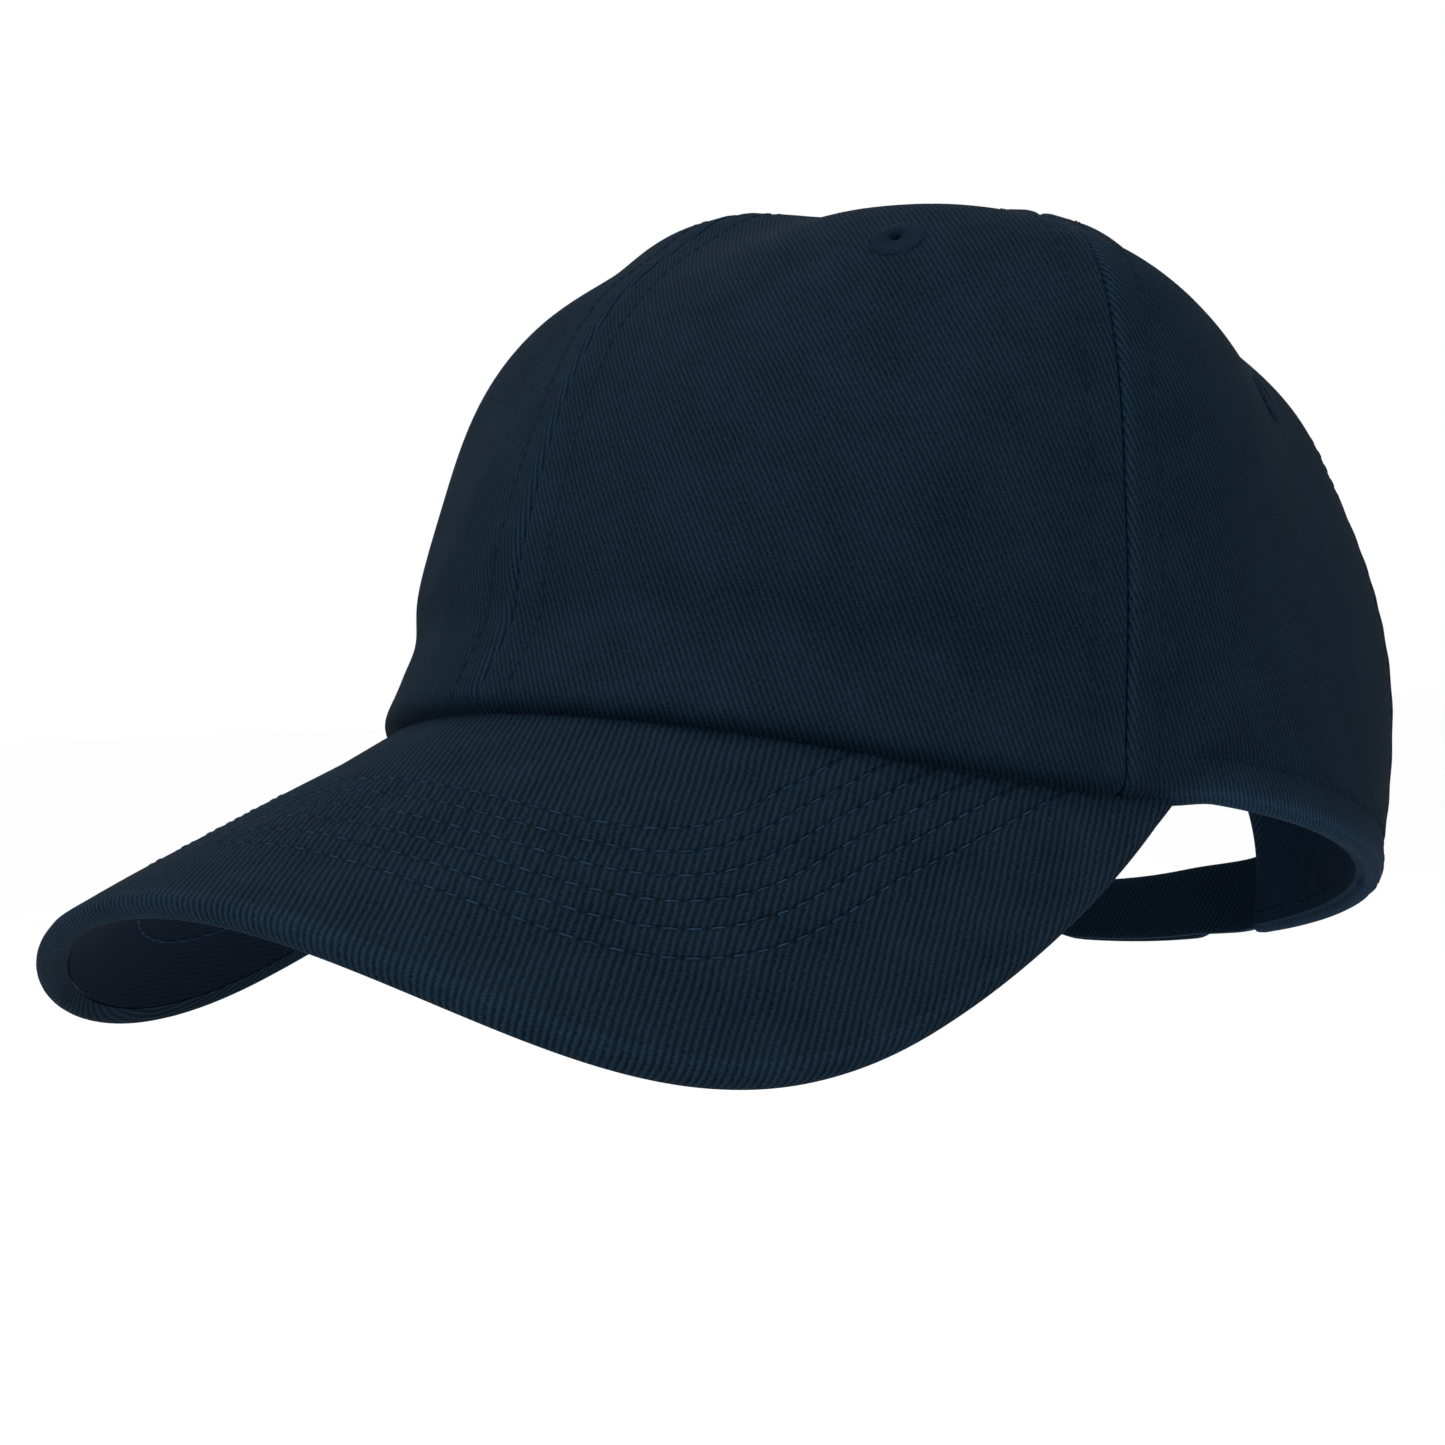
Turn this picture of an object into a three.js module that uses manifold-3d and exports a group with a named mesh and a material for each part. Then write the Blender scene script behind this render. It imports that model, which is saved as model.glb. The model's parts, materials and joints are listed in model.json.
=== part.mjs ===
// Baseball cap: a six-panel soft crown, a curved visor and a hook-and-loop back strap, as named solids.
// Millimetres, +Z up. The wearer faces -Y, their left side is +X, and the origin is the middle of the
// head opening. Every piece of the crown is a sheet laid at a stated depth under one crown surface, and
// every piece of the visor a sheet at a stated depth under one bent visor surface, so that neighbours
// keep their places together.
import * as THREE from "three";
import { mergeVertices } from "three/addons/utils/BufferGeometryUtils.js";
import Module from "manifold-3d";

const wasm = await Module();
wasm.setup();

const rad = THREE.MathUtils.degToRad;
const { lerp, clamp } = THREE.MathUtils;

// ---- Driving sizes: the head opening, the crown and how the cap leans when worn ----
const HALF_WIDTH = 87.46; // head opening, across the ears
const FRONT_REACH = 109.48; // crown's middle line to the forehead
const REAR_REACH = 77.84; // crown's middle line to the back of the head
const CROWN_HEIGHT = 117.18; // head opening up to the button
const APEX_BACKSET = 4.47; // the button lies this far in front of the middle line
const WEAR_TILT = 17.32; // degrees that the front of the opening is lifted when worn
const SIDE_BEARING = [0, 60, 95, 135, 180]; // degrees round the crown where its profile is set
const SHOULDER = [0.695, 0.41, 0.672, 1.023, 0.945]; // below 1 is a squarer shoulder, above 1 a sloping one
const WALL_LEAN = [0.062, -0.125, 0.064, -0.158, 0.051]; // share of the reach lost by the top of the wall
const RISE_FRONT = 0.911; // how quickly the wall climbs, at the front, side and rear
const RISE_SIDE = 0.9;
const RISE_REAR = 1.051;

// ---- Rim: the crown's lower edge ----
const RIM_FRONT_Z = 0.38;
const RIM_REAR_Z = 3.82;
const RIM_EASE = 0.627; // how far the visor's upsweep carries on past its ends

// ---- Visor ----
const VISOR_PITCH = 40.28; // degrees down from the plane of the opening
const VISOR_FLATTER = 10.43; // the visor is bent less than the crown: its radius is larger by this
const VISOR_BEND_RADIUS = HALF_WIDTH + VISOR_FLATTER;
const VISOR_END_BEARING = 71.75; // degrees round the rim where the visor ends
const VISOR_LENGTH = 71.97; // crown seam to front edge, on the middle line
const VISOR_HALF_SPREAD = 105.84; // half the visor's width laid flat
const VISOR_WIDEST_BACK = 7.51; // the widest place lies this far behind the middle of the seam
const VISOR_NOSE_FULLNESS = 0.707; // fullness of the front curve, at the nose and at the widest place
const VISOR_CHEEK_FULLNESS = 0.76;
const VISOR_COVER = 0.8; // cloth
const VISOR_BOARD = 2.0; // moulded insert
const VISOR_LIP = 2.2; // the top cover's turned-in edge under the board
const VISOR_LIFT = 2.8; // the worn visor's front edge stands this much above its plain bend
const VISOR_SEAM_GAP = 0.45; // between the crown's edge and the visor's

// ---- Crown cloth ----
const TWILL = 0.9; // the panels' cloth
const SEAM_GAP = 0.3; // between two panels' edges
const CLEAR = 0.3; // between two pieces that touch
const LAYER_GAP = 0.7; // under the panels, which leaves room for their facets
const PANEL_ROWS = 17; // the same in every panel, so that facets meet along the seams
const FRONT_SEAM_BASE = 65.46; // degrees from the middle of the front, at the rim and at the button
const FRONT_SEAM_TOP = 52;
const MIDDLE_SEAM_DRIFT = -26; // degrees that the slumped crown carries the front middle seam by the button
const REAR_SEAM_BASE = 124;
const REAR_SEAM_TOP = 114;
const REAR_SEAM_TURN = 1.4;
const TAPE_WIDTH = 12.5;
const TAPE = 0.7;
const TAPE_SIT = 0.012; // share of the way up the crown where tapes start
const TAPE_TOP = 1 - 0.0056 * TAPE_WIDTH; // wider tapes stop lower, so that they don't meet round the button

// ---- Half-moon opening at the back ----
const ARCH_HALF_ANGLE = 21.5; // degrees round the rim each side of the back
const ARCH_TOP = 0.3; // share of the way up to the button
const RIM_COLUMNS = 0.35; // share of a rear panel's columns that stand on the rim beside it
const BINDING_WIDTH = 8;
const BINDING = 0.7;
const REAR_TAPE_START = 0.375; // the rear seam's tape starts here, above the binding

// ---- Sweatband ----
const SWEATBAND_DEPTH = TWILL + LAYER_GAP + TAPE + 0.5; // under the crown surface, past the tapes
const SWEATBAND = 1.2;
const SWEATBAND_HEIGHT = 32;
const SWEATBAND_SIT = 0.8; // above the rim

// ---- Strap ----
const STRAP_WIDTH = 15;
const STRAP_SIT = 0.6; // above the rim
const STRAP = 1.2;
const STRAP_DEPTH = TWILL + CLEAR; // under the crown surface, where a tab leaves the corner seam
const PATCH = 0.7;
const PATCH_MARGIN = 1.5; // strap left free round a patch
const OUTER_TAB_END = 166; // degrees round the rim where each tab ends
const INNER_TAB_END = 197;
const INNER_TAB_DRIFT = 9; // degrees that the inner tab takes to pass under the outer one
const HOOK_PATCH_START = 188;
const TAB_END_ROUND = 6.5;
const TAB_TIP_WIDTH = 0.25; // share of a tab's width left at its rounded tip
const TAB_TIP_COLUMNS = 0.4; // share of a tab's columns that go round its tip
const TAB_ROOT = 3.4; // from the corner of the half-moon to where a tab starts to bend

// ---- Eyelets, button and label ----
const EYELET_RADIUS = 4.75;
const EYELET_HOLE = 1.3;
const EYELET_SLEEVE = 0.7;
const EYELET_THREAD = 0.7;
const EYELET_PROUD = 0.5; // flat flange over curved cloth
const BUTTON_RADIUS = 8.2;
const BUTTON_HEIGHT = 4.6;
const BUTTON_COVER = 0.7;
const BUTTON_SHELL = 0.6;
const RIVET_RADIUS = 2.4;
const RIVET_CHAMFER = 0.4;
const RIVET_FLANGE = 6.5;
const RIVET_SEAT = 1.2; // the flange lies this far under the panels, which slope away from the button
const LABEL_WIDTH = 26;
const LABEL_HEIGHT = 24;
const LABEL = 0.5;
const LABEL_BEARING = -112; // degrees round the rim
const LABEL_DROP = 2; // label's seam below the sweatband's top

// ---- Slumps of the soft crown: place, half length and half width as shares of the crown, height in mm ----
const SLUMPS = [
  { bearing: -40, up: 0.62, along: 0.16, across: 0.1, height: -1.95 },
  { bearing: -20, up: 0.78, along: 0.16, across: 0.09, height: 3.67 },
  { bearing: 48, up: 0.8, along: 0.16, across: 0.09, height: -3.75 },
  { bearing: 73, up: 0.7, along: 0.12, across: 0.1, height: -3.36 },
  { bearing: -38, up: 0.38, along: 0.12, across: 0.12, height: 1.96 },
  { bearing: -33, up: 0.2, along: 0.1, across: 0.1, height: 0.76 },
  { bearing: 112, up: 0.55, along: 0.12, across: 0.12, height: 1.86 },
];
const SLUMP_FADE = 0.08; // the rim is held by the sweatband, so slumps fade out below this

const NAVY = 0x1b2c3e;

// ================================ the crown surface ================================

/** Value at a bearing, carried smoothly and alike on both sides through the values set at SIDE_BEARING. */
function roundCrown(values, bearing) {
  const angle = Math.abs(THREE.MathUtils.radToDeg(Math.atan2(Math.sin(bearing), Math.cos(bearing))));
  const last = SIDE_BEARING.length - 1;
  const place = (i) => (i < 0 ? -SIDE_BEARING[1] : i > last ? 360 - SIDE_BEARING[last - 1] : SIDE_BEARING[i]);
  const value = (i) => (i < 0 ? values[1] : i > last ? values[last - 1] : values[i]);
  const slope = (i) => (value(i + 1) - value(i - 1)) / (place(i + 1) - place(i - 1));
  let i = 0;
  while (i < last - 1 && angle > place(i + 1)) i += 1;
  const span = place(i + 1) - place(i);
  const t = (angle - place(i)) / span;
  return hermite(t, value(i), slope(i) * span, value(i + 1), slope(i + 1) * span);
}

/** Cubic between two values with given end slopes. */
function hermite(t, a, slopeA, b, slopeB) {
  const t2 = t * t;
  const t3 = t2 * t;
  return (2 * t3 - 3 * t2 + 1) * a + (t3 - 2 * t2 + t) * slopeA + (3 * t2 - 2 * t3) * b + (t3 - t2) * slopeB;
}

/** Value that is front, side and rear at bearings of 0, 90 and 180 degrees. */
function frontSideRear(front, side, rear, bearing) {
  const c = Math.cos(bearing);
  return side + ((front - rear) / 2) * c + ((front + rear) / 2 - side) * c * c;
}

/** Reach of the head opening along Y at a bearing. */
function reach(bearing) {
  return (FRONT_REACH + REAR_REACH) / 2 + ((FRONT_REACH - REAR_REACH) / 2) * Math.cos(bearing);
}

/** Height of the rim where the crown meets the bent visor. */
function rimOnVisor(bearing) {
  const x = HALF_WIDTH * Math.sin(bearing);
  const sag = Math.sqrt(VISOR_BEND_RADIUS ** 2 - x * x) - VISOR_BEND_RADIUS;
  const run = FRONT_REACH - reach(bearing) * Math.cos(bearing);
  return RIM_FRONT_Z + Math.tan(rad(VISOR_PITCH)) * run + sag / Math.cos(rad(VISOR_PITCH));
}

/** Height of the rim anywhere: along the visor, then easing down to the back. */
function rimHeight(bearing) {
  const angle = Math.abs(Math.atan2(Math.sin(bearing), Math.cos(bearing)));
  const end = rad(VISOR_END_BEARING);
  if (angle <= end) return rimOnVisor(angle);
  const span = Math.PI - end;
  const slope = (rimOnVisor(end) - rimOnVisor(end - 1e-3)) / 1e-3;
  return hermite((angle - end) / span, rimOnVisor(end), slope * span * RIM_EASE, RIM_REAR_Z, 0);
}

/** How far the soft cloth stands out from its smooth shape. */
function slump(bearing, up) {
  const x = (1 - up) * Math.sin(bearing);
  const y = (1 - up) * Math.cos(bearing);
  let height = 0;
  for (const s of SLUMPS) {
    const a = rad(s.bearing);
    const dx = x - (1 - s.up) * Math.sin(a);
    const dy = y - (1 - s.up) * Math.cos(a);
    const inward = -(dx * Math.sin(a) + dy * Math.cos(a));
    const round = dx * Math.cos(a) - dy * Math.sin(a);
    height += s.height * Math.exp(-((round / s.along) ** 2) - (inward / s.across) ** 2);
  }
  return height * clamp(up / SLUMP_FADE, 0, 1);
}

/** Point of the crown's outer surface: bearing 0 is the middle of the front, up runs from 0 at the rim to 1. */
function crownPoint(bearing, up) {
  const swing = (clamp(up, 0, 1) * Math.PI) / 2;
  const rise = Math.sin(swing) ** frontSideRear(RISE_FRONT, RISE_SIDE, RISE_REAR, bearing);
  const shrink = Math.cos(swing) ** roundCrown(SHOULDER, bearing) * (1 - roundCrown(WALL_LEAN, bearing) * rise);
  const stand = slump(bearing, up);
  return new THREE.Vector3(
    HALF_WIDTH * shrink * Math.sin(bearing) + stand * Math.sin(bearing) * Math.cos(swing),
    -APEX_BACKSET * rise - (reach(bearing) * shrink + stand * Math.cos(swing)) * Math.cos(bearing),
    lerp(rimHeight(bearing), CROWN_HEIGHT, rise) + stand * Math.sin(swing),
  );
}

/** Outward unit normal of the crown's surface. */
function crownNormal(bearing, up) {
  const step = Math.min(2e-3, (1 - up) / 3);
  const low = Math.max(up - step, 0);
  const high = Math.max(up, 0) + step;
  const round = crownPoint(bearing + 2e-3, up).sub(crownPoint(bearing - 2e-3, up));
  const climb = crownPoint(bearing, high).sub(crownPoint(bearing, low));
  return round.cross(climb).normalize();
}

/** Point at a depth under the crown's outer surface. */
function underCrown(bearing, up, depth) {
  return crownPoint(bearing, up).addScaledVector(crownNormal(bearing, up), -depth);
}

/** Bearing change that covers a width along the ring at this height. */
function ringAngle(bearing, up, width) {
  const ring = crownPoint(bearing + 1e-3, up).distanceTo(crownPoint(bearing - 1e-3, up));
  return (width * 2e-3) / ring;
}

/** The height share that lies a given length up the crown from another. */
function climbFrom(bearing, up, length) {
  let place = up;
  let walked = 0;
  while (walked < length) {
    const next = place + 5e-4;
    walked += crownPoint(bearing, next).distanceTo(crownPoint(bearing, place));
    place = next;
  }
  return place;
}

/** The height share at which the crown has closed in to a given radius round the button. */
function upToRadius(bearing, radius) {
  let low = 0.5;
  let high = 1;
  for (let i = 0; i < 60; i += 1) {
    const middle = (low + high) / 2;
    const p = crownPoint(bearing, middle);
    if (Math.hypot(p.x, p.y + APEX_BACKSET) > radius) low = middle;
    else high = middle;
  }
  return low;
}

/** Bearings of the front middle seam, the seam between front and side panels, and the one behind it. */
const middleSeam = (up) => rad(MIDDLE_SEAM_DRIFT) * up * up * (3 - 2 * up);
const frontSeam = (up) => rad(lerp(FRONT_SEAM_BASE, FRONT_SEAM_TOP, up));
const rearSeam = (up) => rad(lerp(REAR_SEAM_BASE, REAR_SEAM_TOP, up ** REAR_SEAM_TURN));

// ================================ sheets into solids ================================

/** Closed solid between two skins: skin(i, j, side) is the outer one for side 0 and the inner one for side 1. */
function sheetSolid(columns, rows, skin) {
  const positions = [];
  const index = [];
  const at = (i, j, side) => (side * (rows + 1) + j) * (columns + 1) + i;
  const quad = (a, b, c, d) => index.push(a, b, c, a, c, d);
  for (let side = 0; side < 2; side += 1)
    for (let j = 0; j <= rows; j += 1)
      for (let i = 0; i <= columns; i += 1) positions.push(...skin(i / columns, j / rows, side).toArray());
  for (let j = 0; j < rows; j += 1)
    for (let i = 0; i < columns; i += 1) {
      quad(at(i, j, 0), at(i + 1, j, 0), at(i + 1, j + 1, 0), at(i, j + 1, 0));
      quad(at(i, j, 1), at(i, j + 1, 1), at(i + 1, j + 1, 1), at(i + 1, j, 1));
    }
  for (let i = 0; i < columns; i += 1) {
    quad(at(i, 0, 1), at(i + 1, 0, 1), at(i + 1, 0, 0), at(i, 0, 0));
    quad(at(i, rows, 0), at(i + 1, rows, 0), at(i + 1, rows, 1), at(i, rows, 1));
  }
  for (let j = 0; j < rows; j += 1) {
    quad(at(0, j, 0), at(0, j + 1, 0), at(0, j + 1, 1), at(0, j, 1));
    quad(at(columns, j, 1), at(columns, j + 1, 1), at(columns, j + 1, 0), at(columns, j, 0));
  }
  const geometry = new THREE.BufferGeometry();
  geometry.setAttribute("position", new THREE.Float32BufferAttribute(positions, 3));
  geometry.setIndex(index);
  return geometry;
}

/** Height shares of evenly spaced rows along one column of the crown. */
function evenRows(bearingAt, low, high, rows) {
  const fine = 160;
  const shares = [];
  const lengths = [0];
  for (let k = 0; k <= fine; k += 1) shares.push(high - (high - low) * (1 - k / fine) ** 3);
  for (let k = 1; k <= fine; k += 1) {
    const here = crownPoint(bearingAt(shares[k]), shares[k]);
    const before = crownPoint(bearingAt(shares[k - 1]), shares[k - 1]);
    lengths.push(lengths[k - 1] + here.distanceTo(before));
  }
  const result = [];
  let k = 1;
  for (let j = 0; j <= rows; j += 1) {
    const goal = (lengths[fine] * j) / rows;
    while (k < fine && lengths[k] < goal) k += 1;
    const t = clamp((goal - lengths[k - 1]) / (lengths[k] - lengths[k - 1]), 0, 1);
    result.push(lerp(shares[k - 1], shares[k], t));
  }
  return result;
}

/**
 * Sheet on the crown between two edges, given as functions of the height share. Each column has a share of the
 * way from the left edge to the right one, a low height share and a high one. The sheet lies from depth to
 * depth + thickness under the outer surface.
 */
function crownSheet({ columns, rows, left, right, column, depth, thickness }) {
  const grid = [];
  for (let i = 0; i <= columns; i += 1) {
    const { share, low, high } = column(i / columns, (c, up) => lerp(left(up), right(up), c));
    const bearingAt = (up) => lerp(left(up), right(up), share);
    grid.push(evenRows(bearingAt, low, high, rows).map((up) => ({ bearing: bearingAt(up), up })));
  }
  return sheetSolid(columns, rows, (c, r, side) => {
    const { bearing, up } = grid[Math.round(c * columns)][Math.round(r * rows)];
    return underCrown(bearing, up, depth + side * thickness);
  });
}

/** Manifold solid of a geometry. */
function solidOf(geometry) {
  const plain = new THREE.BufferGeometry();
  const source = geometry.index ? geometry.toNonIndexed() : geometry;
  plain.setAttribute("position", source.getAttribute("position"));
  const merged = mergeVertices(plain, 1e-4);
  return new wasm.Manifold(
    new wasm.Mesh({
      numProp: 3,
      vertProperties: merged.attributes.position.array,
      triVerts: new Uint32Array(merged.index.array),
    }),
  );
}

/** Geometry of a Manifold solid. */
function geometryOf(solid) {
  const mesh = solid.getMesh();
  const geometry = new THREE.BufferGeometry();
  geometry.setAttribute("position", new THREE.BufferAttribute(mesh.vertProperties, 3));
  geometry.setIndex(new THREE.BufferAttribute(mesh.triVerts, 1));
  return geometry;
}

/** Turns and moves a geometry made round the Y axis so that its axis is the crown's normal at a place. */
function standOnCrown(geometry, { bearing, up }) {
  const turn = new THREE.Quaternion().setFromUnitVectors(new THREE.Vector3(0, 1, 0), crownNormal(bearing, up));
  return geometry.applyQuaternion(turn).translate(...crownPoint(bearing, up).toArray());
}

/** Cuts a round hole through a sheet at a place on the crown. */
function pierce(geometry, place, radius) {
  const drill = standOnCrown(new THREE.CylinderGeometry(radius, radius, 6 * TWILL, 20), place);
  return geometryOf(solidOf(geometry).subtract(solidOf(drill)));
}

// ================================ crown pieces ================================

const EYELETS = {
  left_front_eyelet: { bearing: rad(35), up: 0.555 },
  right_front_eyelet: { bearing: rad(-43), up: 0.555 },
  left_side_eyelet: { bearing: rad(92), up: 0.5 },
  right_side_eyelet: { bearing: rad(-92), up: 0.5 },
  left_rear_eyelet: { bearing: rad(146), up: 0.56 },
  right_rear_eyelet: { bearing: rad(-146), up: 0.56 },
};

const ringRadius = RIVET_RADIUS + CLEAR;
const panelTop = (bearing) => upToRadius(bearing, ringRadius);

/** One panel between two seams, pierced for its eyelet. */
function panel(left, right, columns, eyelet, column = plainColumn) {
  const half = SEAM_GAP / 2;
  const sheet = crownSheet({
    columns,
    rows: PANEL_ROWS,
    left: (up) => left(up) + ringAngle(left(up), Math.min(up, 0.99), half),
    right: (up) => right(up) - ringAngle(right(up), Math.min(up, 0.99), half),
    column,
    depth: 0,
    thickness: TWILL,
  });
  return pierce(sheet, EYELETS[eyelet], EYELET_HOLE + EYELET_SLEEVE + CLEAR);
}

/** Column of a panel that runs from the rim to the button. */
function plainColumn(c, bearingAt) {
  return { share: c, low: 0, high: panelTop(bearingAt(c, 1)) };
}

/**
 * Column of a rear panel, counted from the side seam to the middle of the back. The first columns stand on the
 * rim and the others on the half-moon's edge, at even steps round it.
 */
function archColumn(c) {
  const onRim = RIM_COLUMNS;
  const corner = Math.PI - rad(ARCH_HALF_ANGLE);
  const swing = (clamp((c - onRim) / (1 - onRim), 0, 1) * Math.PI) / 2;
  const low = ARCH_TOP * Math.sin(swing);
  const seam = rearSeam(low);
  const bearing = c < onRim ? lerp(seam, corner, c / onRim) : Math.PI - rad(ARCH_HALF_ANGLE) * Math.cos(swing);
  const share = (bearing - seam) / (Math.PI - seam);
  return { share, low, high: panelTop(lerp(rearSeam(1), Math.PI, share)) };
}

/** Rear panel, with the half-moon cut out of its lower edge. */
function rearPanel(onLeft) {
  if (onLeft) return panel(rearSeam, () => Math.PI, 17, "left_rear_eyelet", archColumn);
  const mirrored = (c) => {
    const { share, low, high } = archColumn(1 - c);
    return { share: 1 - share, low, high };
  };
  return panel(() => -Math.PI, (up) => -rearSeam(up), 17, "right_rear_eyelet", mirrored);
}

/** Tape over the raw edges of a seam, along the seam's bearing and between two height shares. */
function seamTape(seam, low) {
  const half = (up) => ringAngle(seam(up), up, TAPE_WIDTH / 2);
  return crownSheet({
    columns: 2,
    rows: 16,
    left: (up) => seam(up) - half(up),
    right: (up) => seam(up) + half(up),
    column: (c) => ({ share: c, low, high: TAPE_TOP }),
    depth: TWILL + LAYER_GAP,
    thickness: TAPE,
  });
}

/** Binding round the half-moon's edge, on the inside of the rear panels. */
function rearArchBinding() {
  const widen = 1 + BINDING_WIDTH / (REAR_REACH * rad(ARCH_HALF_ANGLE));
  const lift = (BINDING_WIDTH / climbLength()) * ARCH_TOP;
  const foot = climbFrom(Math.PI - rad(ARCH_HALF_ANGLE), 0, STRAP_SIT + STRAP_WIDTH + CLEAR);
  return sheetSolid(40, 1, (c, r, side) => {
    const swing = lerp(-1, 1, c) * Math.acos(foot / ARCH_TOP);
    const wide = rad(ARCH_HALF_ANGLE) * lerp(1, widen, r);
    const bearing = Math.PI + wide * Math.sin(swing);
    const up = (ARCH_TOP + lift * r) * Math.cos(swing);
    return underCrown(bearing, up, TWILL + LAYER_GAP + side * BINDING);
  });
}

/** Length up the back of the crown from the rim to the top of the half-moon. */
function climbLength() {
  let length = 0;
  for (let k = 0; k < 20; k += 1) {
    const low = crownPoint(Math.PI, (ARCH_TOP * k) / 20);
    length += low.distanceTo(crownPoint(Math.PI, (ARCH_TOP * (k + 1)) / 20));
  }
  return length;
}

/** Band against the forehead, from one corner of the half-moon round the front to the other. */
function sweatband() {
  const corner = Math.PI - rad(ARCH_HALF_ANGLE) - 2 * CLEAR / REAR_REACH;
  return crownSheet({
    columns: 60,
    rows: 3,
    left: () => -corner,
    right: () => corner,
    column: (c, bearingAt) => ({
      share: c,
      low: climbFrom(bearingAt(c, 0), 0, SWEATBAND_SIT),
      high: climbFrom(bearingAt(c, 0), 0, SWEATBAND_HEIGHT),
    }),
    depth: SWEATBAND_DEPTH,
    thickness: SWEATBAND,
  });
}

/** Blank care label, sewn along its top edge to the inside of the sweatband. */
function careLabel() {
  const bearing = rad(LABEL_BEARING);
  const half = ringAngle(bearing, 0.1, LABEL_WIDTH / 2);
  const top = SWEATBAND_HEIGHT - LABEL_DROP;
  return crownSheet({
    columns: 8,
    rows: 3,
    left: () => bearing - half,
    right: () => bearing + half,
    column: (c, bearingAt) => ({
      share: c,
      low: climbFrom(bearingAt(c, 0), 0, top - LABEL_HEIGHT),
      high: climbFrom(bearingAt(c, 0), 0, top),
    }),
    depth: SWEATBAND_DEPTH + SWEATBAND + CLEAR,
    thickness: LABEL,
  });
}

/** Ring of thread worked round an eyelet's hole: a flange on each face joined through the cloth. */
function eyelet(place) {
  const sleeve = EYELET_HOLE + EYELET_SLEEVE;
  const under = -(TWILL + EYELET_PROUD);
  const profile = [
    [EYELET_HOLE, under - EYELET_THREAD],
    [EYELET_RADIUS - 0.6, under - EYELET_THREAD],
    [EYELET_RADIUS - 0.6, under],
    [sleeve, under],
    [sleeve, EYELET_PROUD],
    [EYELET_RADIUS, EYELET_PROUD],
    [EYELET_RADIUS - 0.5, EYELET_PROUD + EYELET_THREAD],
    [sleeve, EYELET_PROUD + EYELET_THREAD],
    [EYELET_HOLE, EYELET_PROUD],
    [EYELET_HOLE, under - EYELET_THREAD],
  ];
  return standOnCrown(new THREE.LatheGeometry(vectors(profile), 20), place);
}

const vectors = (points) => points.map(([r, h]) => new THREE.Vector2(r, h));

// ================================ button ================================

/** Quarter-ellipse from the edge of a dome to its top, as profile points. */
function domeArc(radius, height, base, steps = 5) {
  const points = [];
  for (let k = 0; k <= steps; k += 1) {
    const a = ((k / steps) * Math.PI) / 2;
    points.push([radius * Math.cos(a), base + height * Math.sin(a)]);
  }
  points[steps][0] = 0;
  return points;
}

/** Dome shell open below, as a lathe about the Y axis. */
function dome(radius, height, base, wall) {
  const outer = domeArc(radius, height, base);
  const inner = domeArc(radius - wall, height - wall, base).reverse();
  return new THREE.LatheGeometry(vectors([...inner, ...outer]), 24);
}

/** Puts a lathe on top of the crown, its Y axis up. */
const onTop = (geometry) => geometry.rotateX(Math.PI / 2).translate(0, -APEX_BACKSET, CROWN_HEIGHT);

const buttonCover = () => onTop(dome(BUTTON_RADIUS, BUTTON_HEIGHT, CLEAR, BUTTON_COVER));

/** Metal dome inside the button's cloth cover. */
function buttonShell() {
  const slack = BUTTON_COVER + CLEAR;
  return onTop(dome(BUTTON_RADIUS - slack, BUTTON_HEIGHT - slack, CLEAR, BUTTON_SHELL));
}

/** Rivet through the crown, from a flange under the panels up into the button's metal dome. */
function buttonRivet() {
  const under = -(TWILL + RIVET_SEAT);
  const tip = BUTTON_HEIGHT - BUTTON_COVER - BUTTON_SHELL - 2 * CLEAR - CLEAR;
  const profile = [
    [0, under - EYELET_THREAD],
    [RIVET_FLANGE, under - EYELET_THREAD],
    [RIVET_FLANGE, under],
    [RIVET_RADIUS, under],
    [RIVET_RADIUS, tip - RIVET_CHAMFER],
    [RIVET_RADIUS - RIVET_CHAMFER, tip],
    [0, tip],
  ];
  return onTop(new THREE.LatheGeometry(vectors(profile), 24));
}

// ================================ visor ================================

/** Point at a depth under the bent visor; s runs across the flat visor and v away from the crown. */
function visorPoint(s, v, depth) {
  const bend = s / VISOR_BEND_RADIUS;
  const pitch = rad(VISOR_PITCH);
  const radius = VISOR_BEND_RADIUS - depth;
  const sag = radius * Math.cos(bend) - VISOR_BEND_RADIUS;
  return new THREE.Vector3(
    radius * Math.sin(bend),
    -(FRONT_REACH + v * Math.cos(pitch) + sag * Math.sin(pitch)),
    RIM_FRONT_Z - v * Math.sin(pitch) + sag * Math.cos(pitch) + visorLift(s, v),
  );
}

/** How far the worn visor stands above its plain bend: nothing at the crown seam, most at the front. */
function visorLift(s, v) {
  const end = Math.sin(rad(VISOR_END_BEARING));
  const across = (VISOR_BEND_RADIUS * Math.sin(s / VISOR_BEND_RADIUS)) / HALF_WIDTH;
  const ahead = v - seamOnVisor(Math.asin(THREE.MathUtils.clamp(across, -end, end))).y;
  return VISOR_LIFT * THREE.MathUtils.smoothstep(ahead, 0, VISOR_LENGTH);
}

/** Place of the crown seam on the flat visor at a bearing round the rim. */
function seamOnVisor(bearing) {
  const pitch = rad(VISOR_PITCH);
  const bend = Math.asin((HALF_WIDTH * Math.sin(bearing)) / VISOR_BEND_RADIUS);
  const sag = VISOR_BEND_RADIUS * (Math.cos(bend) - 1);
  const run = reach(bearing) * Math.cos(bearing) - FRONT_REACH - sag * Math.sin(pitch);
  return new THREE.Vector2(VISOR_BEND_RADIUS * bend, run / Math.cos(pitch));
}

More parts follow.
